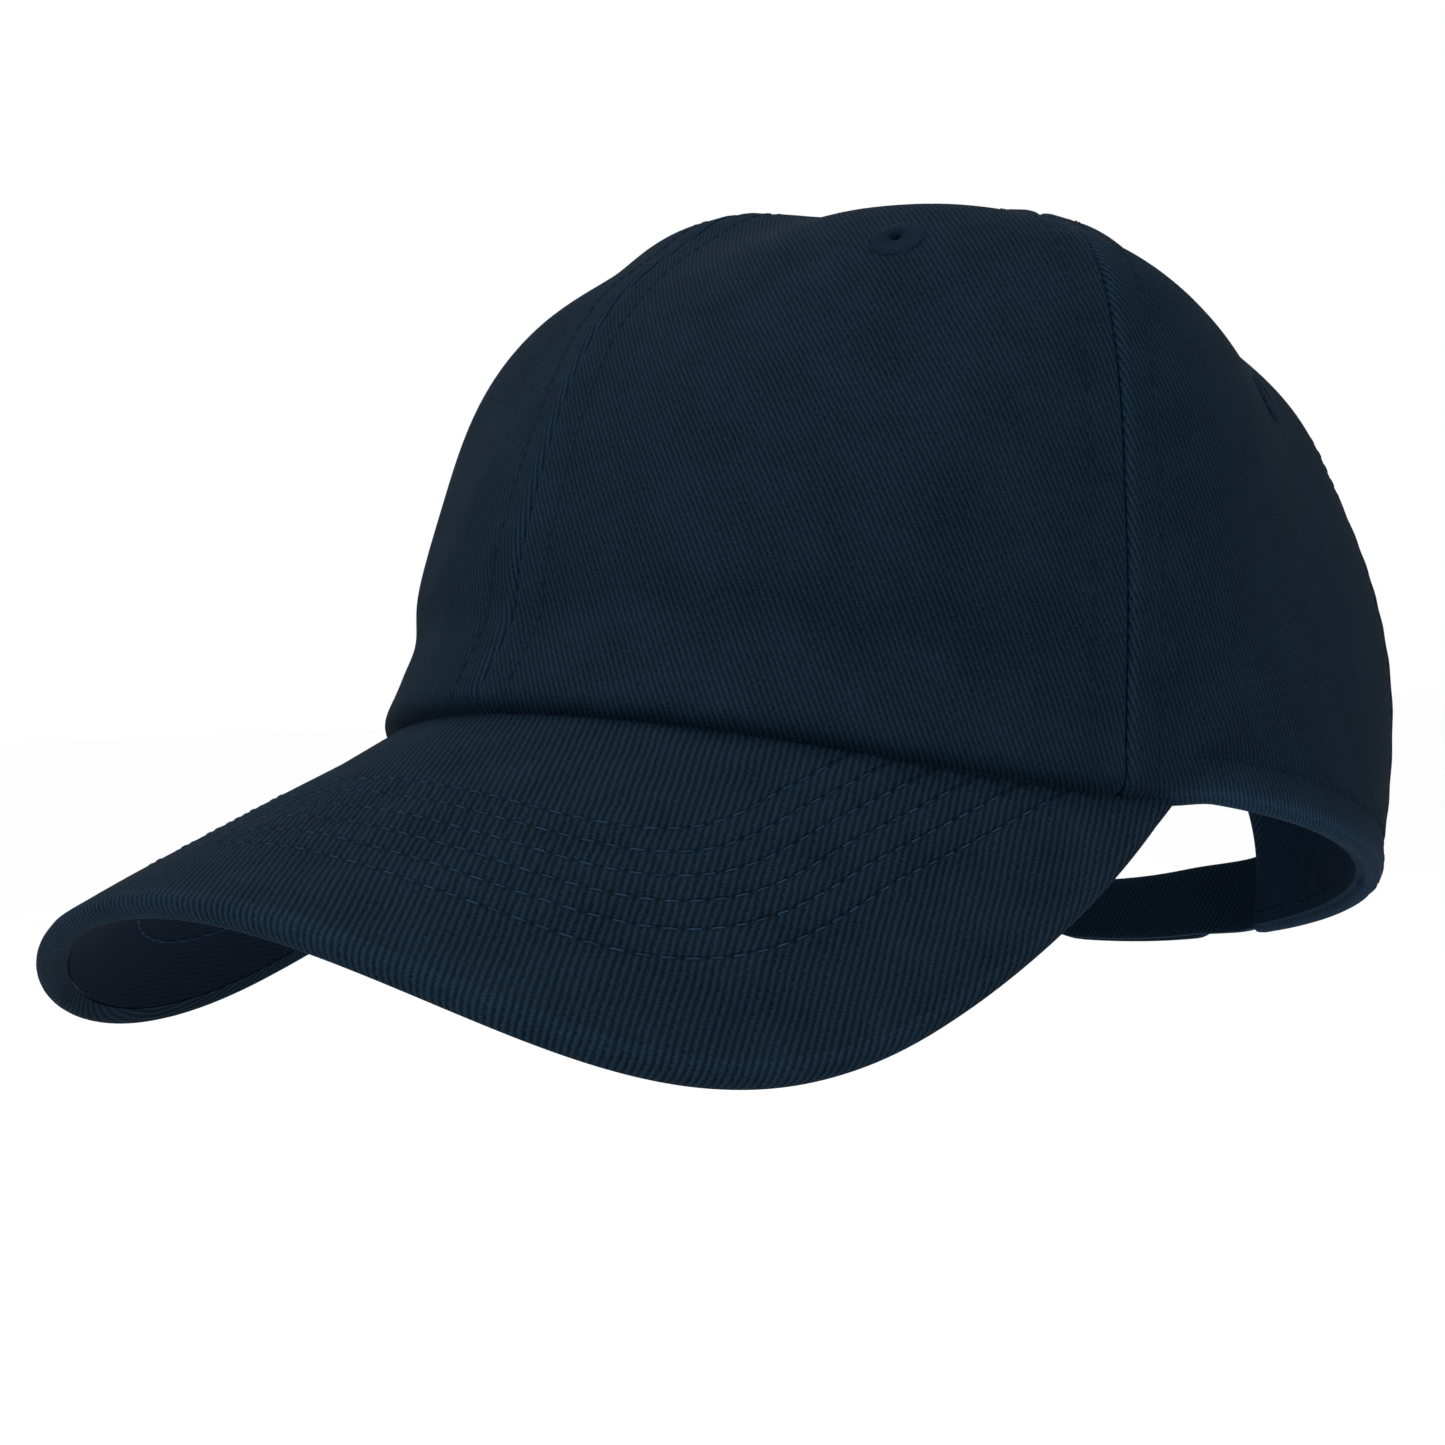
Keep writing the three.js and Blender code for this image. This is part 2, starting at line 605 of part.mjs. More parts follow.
/** The visor's right half outline laid flat: nose to widest place, then in to the rim. */
function visorOutline() {
  const end = seamOnVisor(rad(VISOR_END_BEARING));
  const widest = -VISOR_WIDEST_BACK;
  const path = new THREE.CurvePath();
  path.add(
    new THREE.CubicBezierCurve(
      new THREE.Vector2(0, VISOR_LENGTH),
      new THREE.Vector2(VISOR_HALF_SPREAD * VISOR_NOSE_FULLNESS, VISOR_LENGTH),
      new THREE.Vector2(VISOR_HALF_SPREAD, lerp(widest, VISOR_LENGTH, VISOR_CHEEK_FULLNESS)),
      new THREE.Vector2(VISOR_HALF_SPREAD, widest),
    ),
  );
  path.add(
    new THREE.CubicBezierCurve(
      new THREE.Vector2(VISOR_HALF_SPREAD, widest),
      new THREE.Vector2(VISOR_HALF_SPREAD, lerp(widest, end.y, 0.4)),
      new THREE.Vector2(lerp(VISOR_HALF_SPREAD, end.x, 0.6), lerp(widest, end.y, 0.8)),
      end,
    ),
  );
  return path;
}

const outline = visorOutline();

/** Edge point and outward direction on the flat visor; a runs from -1 to 1 across it. */
function visorEdge(a) {
  const t = Math.abs(a);
  const point = outline.getPointAt(t);
  const ahead = outline.getPointAt(Math.min(t + 1e-3, 1));
  const behind = outline.getPointAt(Math.max(t - 1e-3, 0));
  const along = ahead.sub(behind).normalize();
  const mirror = Math.sign(a) || 1;
  const outward = new THREE.Vector2(-along.y * mirror, along.x);
  return { point: new THREE.Vector2(point.x * mirror, point.y), outward };
}

/** Point on the flat visor: a across it, w from the crown seam (0) to a line set in from the edge (1). */
function visorFlat(a, w, setIn) {
  const seam = seamOnVisor(a * rad(VISOR_END_BEARING));
  seam.y += VISOR_SEAM_GAP;
  const { point, outward } = visorEdge(a);
  return seam.lerp(point.addScaledVector(outward, -setIn), w);
}

const VISOR_THICK = 2 * VISOR_COVER + VISOR_BOARD + 2 * CLEAR;
const VISOR_TIP = 0.97; // the cloth stops here, where the visor runs out to nothing
const UNDER_TIP = 0.94;
const BOARD_TIP = 0.91;

/** Flat layer of the visor between two depths. */
function visorLayer(columns, rows, tip, setIn, depth, thickness) {
  return sheetSolid(columns, rows, (c, r, side) => {
    const p = visorFlat(lerp(tip, -tip, c), r, setIn);
    return visorPoint(p.x, p.y, depth + side * thickness);
  });
}

/** Top cover: over the board, round its edge and a short way back underneath. */
function visorTopCover() {
  const round = VISOR_THICK / 2;
  const flatRows = 5;
  const turnRows = 5;
  const rows = flatRows + turnRows + 1;
  return sheetSolid(60, rows, (c, r, side) => {
    const a = lerp(VISOR_TIP, -VISOR_TIP, c);
    const row = Math.round(r * rows);
    const inner = visorFlat(a, 1, round);
    if (row <= flatRows) {
      const p = visorFlat(a, row / flatRows, round);
      return visorPoint(p.x, p.y, side * VISOR_COVER);
    }
    const { outward } = visorEdge(a);
    const radius = round - side * VISOR_COVER;
    const turn = Math.min((row - flatRows) / turnRows, 1) * Math.PI;
    const back = row === rows ? -VISOR_LIP : radius * Math.sin(turn);
    inner.addScaledVector(outward, back);
    return visorPoint(inner.x, inner.y, round - radius * Math.cos(turn));
  });
}

const visorBoard = () => visorLayer(48, 5, BOARD_TIP, VISOR_THICK / 2, VISOR_COVER + CLEAR, VISOR_BOARD);

/** Bottom cover, inside the top cover's turned-in edge. */
function visorBottomCover() {
  const setIn = VISOR_THICK / 2 + VISOR_LIP + CLEAR;
  return visorLayer(52, 5, UNDER_TIP, setIn, VISOR_THICK - VISOR_COVER, VISOR_COVER);
}

// ================================ strap ================================

/** Strip along the strap's path between two bearings, at a depth for each bearing, with one rounded end. */
function strapStrip({ start, end, depth, thickness, margin = 0, round = TAB_END_ROUND, columns = 20 }) {
  const low = climbFrom(Math.PI, 0, STRAP_SIT + margin);
  const high = climbFrom(Math.PI, 0, STRAP_SIT + STRAP_WIDTH - margin);
  const middle = (low + high) / 2;
  const curl = round / REAR_REACH / Math.abs(end - start);
  const straight = 1 - TAB_TIP_COLUMNS;
  const swing = (c) => (clamp((c - straight) / TAB_TIP_COLUMNS, 0, 1) * Math.PI) / 2;
  const along = (c) => (Math.min(c / straight, 1) - curl * (c < straight ? c / straight : 1 - Math.sin(swing(c))));
  const narrow = (c) => lerp(1, TAB_TIP_WIDTH, 1 - Math.cos(swing(c)));
  const turned = end < start;
  return sheetSolid(columns, 2, (i, r, side) => {
    const c = turned ? 1 - i : i;
    const up = middle + (lerp(low, high, r) - middle) * narrow(c);
    const bearing = lerp(start, end, along(c));
    return underCrown(bearing, up, depth(bearing) + side * thickness);
  });
}

const leftCorner = Math.PI - rad(ARCH_HALF_ANGLE) + TAB_ROOT / REAR_REACH;
const rightCorner = Math.PI + rad(ARCH_HALF_ANGLE) - TAB_ROOT / REAR_REACH;
const HOOK_DEPTH = STRAP_DEPTH + STRAP + CLEAR;
const LOOP_DEPTH = HOOK_DEPTH + PATCH + CLEAR;
const INNER_DEPTH = LOOP_DEPTH + PATCH + CLEAR;

/** Depth of the inner tab, which leaves its corner level with the outer one and passes under it. */
function innerDepth(bearing) {
  const t = clamp((bearing - leftCorner) / rad(INNER_TAB_DRIFT), 0, 1);
  return lerp(STRAP_DEPTH, INNER_DEPTH, t * t * (3 - 2 * t));
}

const patchInset = PATCH_MARGIN / REAR_REACH;
const patchStart = leftCorner + rad(INNER_TAB_DRIFT) + patchInset;

/** The four pieces of the hook-and-loop strap. */
function strapPieces() {
  const outerEnd = rad(OUTER_TAB_END);
  const innerEnd = rad(INNER_TAB_END);
  return {
    outer_tab: strapStrip({ start: rightCorner, end: outerEnd, depth: () => STRAP_DEPTH, thickness: STRAP }),
    hook_patch: strapStrip({
      start: rad(HOOK_PATCH_START),
      end: patchStart,
      depth: () => HOOK_DEPTH,
      thickness: PATCH,
      margin: PATCH_MARGIN,
      round: TAB_END_ROUND - PATCH_MARGIN,
      columns: 14,
    }),
    inner_tab: strapStrip({ start: leftCorner, end: innerEnd, depth: innerDepth, thickness: STRAP }),
    loop_patch: strapStrip({
      start: patchStart,
      end: innerEnd - patchInset,
      depth: () => LOOP_DEPTH,
      thickness: PATCH,
      margin: PATCH_MARGIN,
      round: TAB_END_ROUND - PATCH_MARGIN,
      columns: 14,
    }),
  };
}

// ================================ the cap ================================

/** Material with a colour, roughness and metalness. */
function finish(color, roughness, metalness = 0) {
  return new THREE.MeshStandardMaterial({ color, roughness, metalness });
}

const twill = finish(NAVY, 0.92);
const band = finish(0x14202d, 0.95);
const tape = finish(0x101a26, 0.95);
const thread = finish(0x1d2f42, 0.8);
const board = finish(0x2c2f33, 0.55);
const fastener = finish(0x0f1620, 0.9);
const steel = finish(0xa9adb2, 0.35, 0.9);
const labelCloth = finish(0xe6e4de, 0.85);

const cap = new THREE.Group();
const lean = new THREE.Group(); // the worn cap's lean
const seat = new THREE.Group(); // puts the middle of the head opening at the origin
lean.rotation.x = -rad(WEAR_TILT);
seat.position.set(0, (FRONT_REACH - REAR_REACH) / 2, -(RIM_FRONT_Z + RIM_REAR_Z) / 2);
cap.add(lean);
lean.add(seat);

/** Adds one named piece. */
function add(name, geometry, material) {
  const mesh = new THREE.Mesh(geometry, material);
  mesh.name = name;
  seat.add(mesh);
}

const leftOf = (seam) => (up) => seam(up);
const rightOf = (seam) => (up) => -seam(up);

add("left_front_panel", panel(middleSeam, leftOf(frontSeam), 14, "left_front_eyelet"), twill);
add("right_front_panel", panel(rightOf(frontSeam), middleSeam, 14, "right_front_eyelet"), twill);
add("left_side_panel", panel(leftOf(frontSeam), leftOf(rearSeam), 12, "left_side_eyelet"), twill);
add("right_side_panel", panel(rightOf(rearSeam), rightOf(frontSeam), 12, "right_side_eyelet"), twill);
add("left_rear_panel", rearPanel(true), twill);
add("right_rear_panel", rearPanel(false), twill);
add("front_middle_seam_tape", seamTape(middleSeam, TAPE_SIT), tape);
add("front_left_seam_tape", seamTape(leftOf(frontSeam), TAPE_SIT), tape);
add("front_right_seam_tape", seamTape(rightOf(frontSeam), TAPE_SIT), tape);
add("side_left_seam_tape", seamTape(leftOf(rearSeam), TAPE_SIT), tape);
add("side_right_seam_tape", seamTape(rightOf(rearSeam), TAPE_SIT), tape);
add("rear_seam_tape", seamTape(() => Math.PI, REAR_TAPE_START), tape);
add("rear_arch_binding", rearArchBinding(), tape);
add("sweatband", sweatband(), band);
add("care_label", careLabel(), labelCloth);
for (const [name, place] of Object.entries(EYELETS)) add(name, eyelet(place), thread);
add("button_cover", buttonCover(), twill);
add("button_shell", buttonShell(), steel);
add("button_rivet", buttonRivet(), steel);
add("visor_top_cover", visorTopCover(), twill);
add("visor_board", visorBoard(), board);
add("visor_bottom_cover", visorBottomCover(), twill);
for (const [name, geometry] of Object.entries(strapPieces()))
  add(name, geometry, name.endsWith("patch") ? fastener : twill);

export default cap;
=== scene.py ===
"""Looks of a soft baseball cap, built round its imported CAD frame.

The crown's cloth lies on the CAD part's crown surface and the visor's cloth on its bent visor surface, both
worked out here in millimetres in the frame of the cap's rim, then leaned back and moved into the part's own
frame in metres. Every sewn piece is a closed sheet between two skins that share one grid, dressed with woven
finishes that read the sheet's own lengths in millimetres.
"""

import json
import logging
import math
from dataclasses import dataclass, field
from enum import Enum
from typing import Callable, Optional, Sequence, Union

import bpy
import numpy as np
from mathutils import Matrix

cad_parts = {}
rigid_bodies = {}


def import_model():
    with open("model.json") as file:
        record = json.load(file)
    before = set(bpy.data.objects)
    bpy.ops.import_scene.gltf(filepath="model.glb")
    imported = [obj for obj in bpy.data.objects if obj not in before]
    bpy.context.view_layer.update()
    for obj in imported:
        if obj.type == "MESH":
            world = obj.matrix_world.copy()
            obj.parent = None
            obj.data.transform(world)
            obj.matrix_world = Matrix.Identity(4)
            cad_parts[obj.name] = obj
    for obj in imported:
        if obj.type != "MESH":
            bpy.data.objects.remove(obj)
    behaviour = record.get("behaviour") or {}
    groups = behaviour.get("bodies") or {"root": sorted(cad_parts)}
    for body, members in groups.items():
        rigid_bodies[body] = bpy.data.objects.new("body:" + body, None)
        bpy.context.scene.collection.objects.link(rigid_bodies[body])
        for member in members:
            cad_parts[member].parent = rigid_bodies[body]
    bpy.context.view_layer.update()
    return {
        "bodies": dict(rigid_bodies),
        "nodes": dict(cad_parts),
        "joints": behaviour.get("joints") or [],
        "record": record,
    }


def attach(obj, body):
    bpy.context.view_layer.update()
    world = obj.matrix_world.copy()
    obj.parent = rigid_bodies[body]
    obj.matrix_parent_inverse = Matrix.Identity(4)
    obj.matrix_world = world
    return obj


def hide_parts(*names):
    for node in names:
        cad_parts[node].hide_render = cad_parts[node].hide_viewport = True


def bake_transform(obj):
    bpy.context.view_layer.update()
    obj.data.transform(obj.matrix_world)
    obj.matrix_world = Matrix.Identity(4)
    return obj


Array = np.ndarray
Rule = Callable[[Array], Array]

MM = 0.001
LOG = logging.getLogger("baseball_cap")


# ---------------------------------------------------------------- small geometry


def lerp(a: Array, b: Array, t: Array) -> Array:
    """Returns the value a share t of the way from a to b."""
    return a + (b - a) * t


def smooth(low: float, high: float, x: Array) -> Array:
    """Returns 0 at or below low, 1 at or above high, and a smooth turn between them."""
    t = np.clip((x - low) / (high - low), 0.0, 1.0)
    return t * t * (3.0 - 2.0 * t)


def bump(x: Array, middle: float, half: float) -> Array:
    """Returns a bell that is 1 at its middle and 0.37 at half its width away."""
    return np.exp(-(((x - middle) / half) ** 2))


def unit(v: Array) -> Array:
    """Returns vectors of length one along the last axis."""
    return v / np.maximum(np.linalg.norm(v, axis=-1, keepdims=True), 1e-12)


def hermite(t: Array, a: Array, slope_a: Array, b: Array, slope_b: Array) -> Array:
    """Returns the cubic between two values with given end slopes."""
    t2, t3 = t * t, t * t * t
    start = (2 * t3 - 3 * t2 + 1) * a + (t3 - 2 * t2 + t) * slope_a
    return start + (3 * t2 - 2 * t3) * b + (t3 - t2) * slope_b


def nearest(points: Array, line: Array) -> Array:
    """Distance from each point to the nearest point of a finely divided line.

    Args:
        points: Places, with three coordinates on the last axis.
        line: Places along the line, one to a row.

    Returns:
        One distance to a point.
    """
    flat = points.reshape(-1, 3)
    best = np.full(len(flat), np.inf)
    for place in line:
        best = np.minimum(best, ((flat - place) ** 2).sum(axis=1))
    return np.sqrt(best).reshape(points.shape[:-1])


def run_along(line: Array, axis: int = 0) -> Array:
    """Returns the length walked along a grid or a line of points, from its first one."""
    steps = np.linalg.norm(np.diff(line, axis=axis), axis=-1)
    pad = [(0, 0)] * steps.ndim
    pad[axis] = (1, 0)
    return np.pad(np.cumsum(steps, axis=axis), pad)


def resample(line: Array, places: Array) -> Array:
    """Returns the points at given lengths along a line."""
    walked = run_along(line)
    return np.stack([np.interp(places, walked, line[:, k]) for k in range(line.shape[1])], axis=-1)


# ---------------------------------------------------------------- the cap's form


@dataclass(frozen=True)
class Slump:
    """A soft swelling or hollow of the crown: place, half length and half width as shares, height in mm."""

    bearing: float
    up: float
    along: float
    across: float
    height: float
    turn: float = 0.0


@dataclass(frozen=True)
class CapForm:
    """Crown, rim and visor surfaces of the CAD part, in mm in the rim's frame, with the cloth's relief."""

    half_width: float = 87.46
    front_reach: float = 109.48
    rear_reach: float = 77.84
    height: float = 117.18
    apex_backset: float = 4.47
    lean_deg: float = 17.32
    side_bearing: tuple = (0.0, 60.0, 95.0, 135.0, 180.0)
    shoulder: tuple = (0.695, 0.41, 0.672, 1.023, 0.945)
    wall_lean: tuple = (0.062, -0.125, 0.064, -0.158, 0.051)
    rise: tuple = (0.911, 0.9, 1.051)
    rim_front: float = 0.38
    rim_rear: float = 3.82
    rim_ease: float = 0.627
    visor_pitch_deg: float = 40.28
    visor_bend: float = 97.89
    visor_end_deg: float = 71.75
    visor_raise: float = 2.8
    visor_length: float = 71.97
    front_seam_deg: tuple = (65.46, 52.0)
    rear_seam_deg: tuple = (124.0, 114.0, 1.4)
    middle_drift_deg: float = -26.0
    slump_fade: float = 0.08
    slumps: tuple = (
        Slump(-40, 0.62, 0.16, 0.10, -1.95),
        Slump(-20, 0.78, 0.16, 0.09, 3.67),
        Slump(48, 0.80, 0.16, 0.09, -3.75),
        Slump(73, 0.70, 0.12, 0.10, -3.36),
        Slump(-38, 0.38, 0.12, 0.12, 1.96),
        Slump(-33, 0.20, 0.10, 0.10, 0.76),
        Slump(112, 0.55, 0.12, 0.12, 1.86),
    )
    creases: tuple = (
        Slump(40.4, 0.383, 0.135, 0.05, -0.95, 60.5),
        Slump(44.8, 0.279, 0.125, 0.05, 0.85, 50.4),
        Slump(75.5, 0.045, 0.07, 0.03, 0.8, 28.4),
        Slump(14.0, 0.60, 0.16, 0.06, 0.5, 60.0),
        Slump(-14.0, 0.34, 0.14, 0.05, -0.6, -50.0),
    )
    ripple: float = 0.30
    seed: int = 11

    def round_crown(self, values: Sequence[float], bearing: Array) -> Array:
        """Returns a value carried smoothly round the crown through those set at the side bearings."""
        angle = np.degrees(np.abs(np.arctan2(np.sin(bearing), np.cos(bearing))))
        b, v = np.array(self.side_bearing), np.array(values)
        place = np.array([-b[1], *b, 360.0 - b[-2]])
        value = np.array([v[1], *v, v[-2]])
        slope = (value[2:] - value[:-2]) / (place[2:] - place[:-2])
        i = np.clip(np.searchsorted(b, angle) - 1, 0, len(b) - 2)
        span = b[i + 1] - b[i]
        return hermite((angle - b[i]) / span, v[i], slope[i] * span, v[i + 1], slope[i + 1] * span)

    def reach(self, bearing: Array) -> Array:
        """Returns the head opening's reach along Y at a bearing."""
        mean, half = (self.front_reach + self.rear_reach) / 2, (self.front_reach - self.rear_reach) / 2
        return mean + half * np.cos(bearing)

    def rim_on_visor(self, bearing: Array) -> Array:
        """Returns the rim's height where the crown meets the bent visor."""
        pitch = math.radians(self.visor_pitch_deg)
        x = self.half_width * np.sin(bearing)
        sag = np.sqrt(np.maximum(self.visor_bend**2 - x * x, 0.0)) - self.visor_bend
        run = self.front_reach - self.reach(bearing) * np.cos(bearing)
        return self.rim_front + math.tan(pitch) * run + sag / math.cos(pitch)

    def rim(self, bearing: Array) -> Array:
        """Returns the rim's height anywhere: along the visor, then easing down to the back."""
        angle = np.abs(np.arctan2(np.sin(bearing), np.cos(bearing)))
        end = math.radians(self.visor_end_deg)
        span = math.pi - end
        top = self.rim_on_visor(np.array(end))
        slope = (top - self.rim_on_visor(np.array(end - 1e-3))) / 1e-3
        back = hermite((angle - end) / span, top, slope * span * self.rim_ease, self.rim_rear, 0.0)
        return np.where(angle <= end, self.rim_on_visor(np.minimum(angle, end)), back)

    def climb(self, bearing: Array, up: Array) -> Array:
        """Returns the share of the crown's height reached at a height share."""
        front, side, rear = self.rise
        c = np.cos(bearing)
        power = side + (front - rear) / 2 * c + ((front + rear) / 2 - side) * c * c
        return np.sin(np.clip(up, 0, 1) * math.pi / 2) ** power

    def slump(self, bearing: Array, up: Array) -> Array:
        """Returns how far the slumped cloth stands out from the crown's smooth shape."""
        x, y = (1 - up) * np.sin(bearing), (1 - up) * np.cos(bearing)
        total = np.zeros(np.broadcast(bearing, up).shape)
        for s in self.slumps:
            total += self.swell(s, x, y)
        return total * np.clip(up / self.slump_fade, 0, 1)

    def swell(self, s: Slump, x: Array, y: Array) -> Array:
        """Returns one slump's height on the crown seen from above, its long axis turned by its turn."""
        a = math.radians(s.bearing)
        dx, dy = x - (1 - s.up) * math.sin(a), y - (1 - s.up) * math.cos(a)
        inward = -(dx * math.sin(a) + dy * math.cos(a))
        round_ = dx * math.cos(a) - dy * math.sin(a)
        t = math.radians(s.turn)
        along = round_ * math.cos(t) + inward * math.sin(t)
        across = inward * math.cos(t) - round_ * math.sin(t)
        return s.height * np.exp(-((along / s.along) ** 2) - (across / s.across) ** 2)

    def crown(self, bearing: Array, up: Array) -> Array:
        """Returns points of the crown's outer surface at bearings round it and shares of the way up it."""
        swing = np.clip(up, 0, 1) * math.pi / 2
        rise = self.climb(bearing, up)
        taper = np.maximum(np.cos(swing), 0.0) ** self.round_crown(self.shoulder, bearing)
        shrink = taper * (1 - self.round_crown(self.wall_lean, bearing) * rise)
        stand = self.slump(bearing, up)
        x = (self.half_width * shrink + stand * np.cos(swing)) * np.sin(bearing)
        forward = (self.reach(bearing) * shrink + stand * np.cos(swing)) * np.cos(bearing)
        y = -self.apex_backset * rise - forward
        z = lerp(self.rim(bearing), self.height, rise) + stand * np.sin(swing)
        return np.stack(np.broadcast_arrays(x, y, z), axis=-1)

    def normal(self, bearing: Array, up: Array) -> Array:
        """Returns the crown's outward normals."""
        step = np.minimum(2e-3, (1 - up) / 3)
        low, high = np.maximum(up - step, 0), np.maximum(up, 0) + step
        across = self.crown(bearing + 2e-3, up) - self.crown(bearing - 2e-3, up)
        return unit(np.cross(across, self.crown(bearing, high) - self.crown(bearing, low)))

    def relief(self, bearing: Array, up: Array, points: Array) -> Array:
        """How far the worn cloth lies off the crown's surface.

        It is the sum of soft ripples that run through the whole crown, a roll of cloth that hangs over the
        visor's seam with a shallow valley above it, and the crown's own creases.

        Args:
            bearing: Bearings round the crown.
            up: Height shares.
            points: The crown's points there.

        Returns:
            Millimetres along the outward normal.
        """
        rng = np.random.default_rng(self.seed)
        count = 26
        ways = unit(rng.normal(size=(count, 3)))
        length = rng.uniform(20.0, 62.0, count)
        phase = rng.uniform(0, 2 * math.pi, count)
        size = (length / 40.0) ** 1.3
        waves = np.sin(points @ (ways * (2 * math.pi / length)[:, None]).T + phase) @ size
        ripple = self.ripple * waves / math.sqrt((size**2).sum() / 2)
        lift = self.height * self.climb(bearing, up)
        front = np.degrees(np.abs(bearing))
        amount = lerp(2.3, 2.6, smooth(-30, 20, np.degrees(bearing))) * (1 - smooth(60, 76, front))
        roll = amount * (lift / 3.0) * np.exp(1 - lift / 3.0)
        valley = -1.4 * bump(lift, 18.5, 6.0) * (1 - smooth(48, 66, front))
        x, y = (1 - up) * np.sin(bearing), (1 - up) * np.cos(bearing)
        creases = sum((self.swell(s, x, y) for s in self.creases), np.zeros_like(lift))
        fade = np.clip(up / 0.05, 0, 1) * (1 - smooth(0.93, 1.0, up))
        return (ripple + creases) * fade + roll + valley

    def worn(self, bearing: Array, up: Array, depth: Union[float, Array] = 0.0) -> Array:
        """Returns points at a depth under the worn cloth's outer face."""
        points = self.crown(bearing, up)
        off = self.relief(bearing, up, points) - depth
        return points + self.normal(bearing, up) * off[..., None]

    def middle_seam(self, up: Array) -> Array:
        """Returns the bearing of the front middle seam, which the slumped crown carries to one side."""
        return math.radians(self.middle_drift_deg) * up * up * (3 - 2 * up)

    def front_seam(self, up: Array) -> Array:
        """Returns the bearing of the seam between the front and side panels."""
        base, top = self.front_seam_deg
        return np.radians(lerp(base, top, up))

    def rear_seam(self, up: Array) -> Array:
        """Returns the bearing of the seam between the side and rear panels."""
        base, top, turn = self.rear_seam_deg
        return np.radians(lerp(base, top, up**turn))

    def ring_angle(self, bearing: Array, up: Array, width: float) -> Array:
        """Returns the change of bearing that covers a width along the ring at a height."""
        up = np.minimum(up, 0.99)
        ring = np.linalg.norm(self.crown(bearing + 1e-3, up) - self.crown(bearing - 1e-3, up), axis=-1)
        return width * 2e-3 / ring

    def share_at(self, bearing: float, length: float) -> float:
        """Returns the height share a length up the crown from the rim."""
        shares = np.linspace(0, 0.6, 1201)
        walked = run_along(self.crown(np.full_like(shares, bearing), shares))
        return float(np.interp(length, walked, shares))

    def closed_to(self, bearing: Array, radius: float) -> Array:
        """Returns the height share at which the crown has closed in to a radius round the button."""
        low, high = np.full_like(bearing, 0.5), np.ones_like(bearing)
        for _ in range(40):
            middle = (low + high) / 2
            p = self.crown(bearing, middle)
            wide = np.hypot(p[..., 0], p[..., 1] + self.apex_backset) > radius
            low, high = np.where(wide, middle, low), np.where(wide, high, middle)
        return low

    def visor(self, s: Array, v: Array, depth: Union[float, Array]) -> Array:
        """Returns points under the bent visor's top face, from places on the flat visor."""
        bend, pitch = s / self.visor_bend, math.radians(self.visor_pitch_deg)
        radius = self.visor_bend - depth
        sag = radius * np.cos(bend) - self.visor_bend
        x = radius * np.sin(bend)
        y = -(self.front_reach + v * math.cos(pitch) + sag * math.sin(pitch))
        z = self.rim_front - v * math.sin(pitch) + sag * math.cos(pitch) + self.visor_lift(s, v)
        return np.stack(np.broadcast_arrays(x, y, z), axis=-1)

    def visor_lift(self, s: Array, v: Array) -> Array:
        """Returns how far the worn visor stands above its plain bend, which grows from the seam forward."""
        end = math.sin(math.radians(self.visor_end_deg))
        across = np.clip(self.visor_bend * np.sin(s / self.visor_bend) / self.half_width, -end, end)
        ahead = v - self.seam_on_visor(np.arcsin(across))[..., 1]
        return self.visor_raise * smooth(0.0, self.visor_length, ahead)

    def seam_on_visor(self, bearing: Array) -> Array:
        """Returns the crown seam's places on the flat visor at bearings round the rim."""
        pitch = math.radians(self.visor_pitch_deg)
        bend = np.arcsin(self.half_width * np.sin(bearing) / self.visor_bend)
        sag = self.visor_bend * (np.cos(bend) - 1)
        run = self.reach(bearing) * np.cos(bearing) - self.front_reach - sag * math.sin(pitch)
        return np.stack([self.visor_bend * bend, run / math.cos(pitch)], axis=-1)

    def to_frame(self, points: Array) -> Array:
        """Returns points moved from the rim's frame in mm to the part's frame in metres."""
        t = math.radians(self.lean_deg)
        y = points[..., 1] + (self.front_reach - self.rear_reach) / 2
        z = points[..., 2] - (self.rim_front + self.rim_rear) / 2
        y, z = y * math.cos(t) + z * math.sin(t), -y * math.sin(t) + z * math.cos(t)
        return np.stack([points[..., 0], y, z], axis=-1) * MM


# ---------------------------------------------------------------- meshes


@dataclass
class Skins:
    """A closed sheet between two skins on one grid: rows climb, columns run rightward seen from outside."""

    outer: Array
    inner: Array
    uv: Array
    keep: Optional[Array] = None
    wear: Optional[Array] = None
    rows_uv: Optional[Array] = None

    def faces(self) -> Array:
        """Returns the quads of both skins and of the walls along every free edge, facing out."""
        rows, cols = self.outer.shape[:2]
        keep = np.ones((rows - 1, cols - 1), bool) if self.keep is None else self.keep
        near = np.arange(rows * cols).reshape(rows, cols)
        far = near + rows * cols
        a, b, c, d = (np.s_[:-1, :-1], np.s_[:-1, 1:], np.s_[1:, 1:], np.s_[1:, :-1])
        quads = [np.stack([near[k][keep] for k in (a, b, c, d)], -1)]
        quads.append(np.stack([far[k][keep] for k in (a, d, c, b)], -1))
        wide = np.pad(keep, 1)
        under, over = wide[:-1, 1:-1], wide[1:, 1:-1]
        left, right = wide[1:-1, :-1], wide[1:-1, 1:]
        h0, h1 = np.s_[:, :-1], np.s_[:, 1:]
        v0, v1 = np.s_[:-1, :], np.s_[1:, :]
        walls = (
            (over & ~under, far[h0], far[h1], near[h1], near[h0]),
            (under & ~over, near[h0], near[h1], far[h1], far[h0]),
            (right & ~left, near[v0], near[v1], far[v1], far[v0]),
            (left & ~right, far[v0], far[v1], near[v1], near[v0]),
        )
        quads += [np.stack([corner[where] for corner in corners], -1) for where, *corners in walls]
        return np.concatenate(quads)


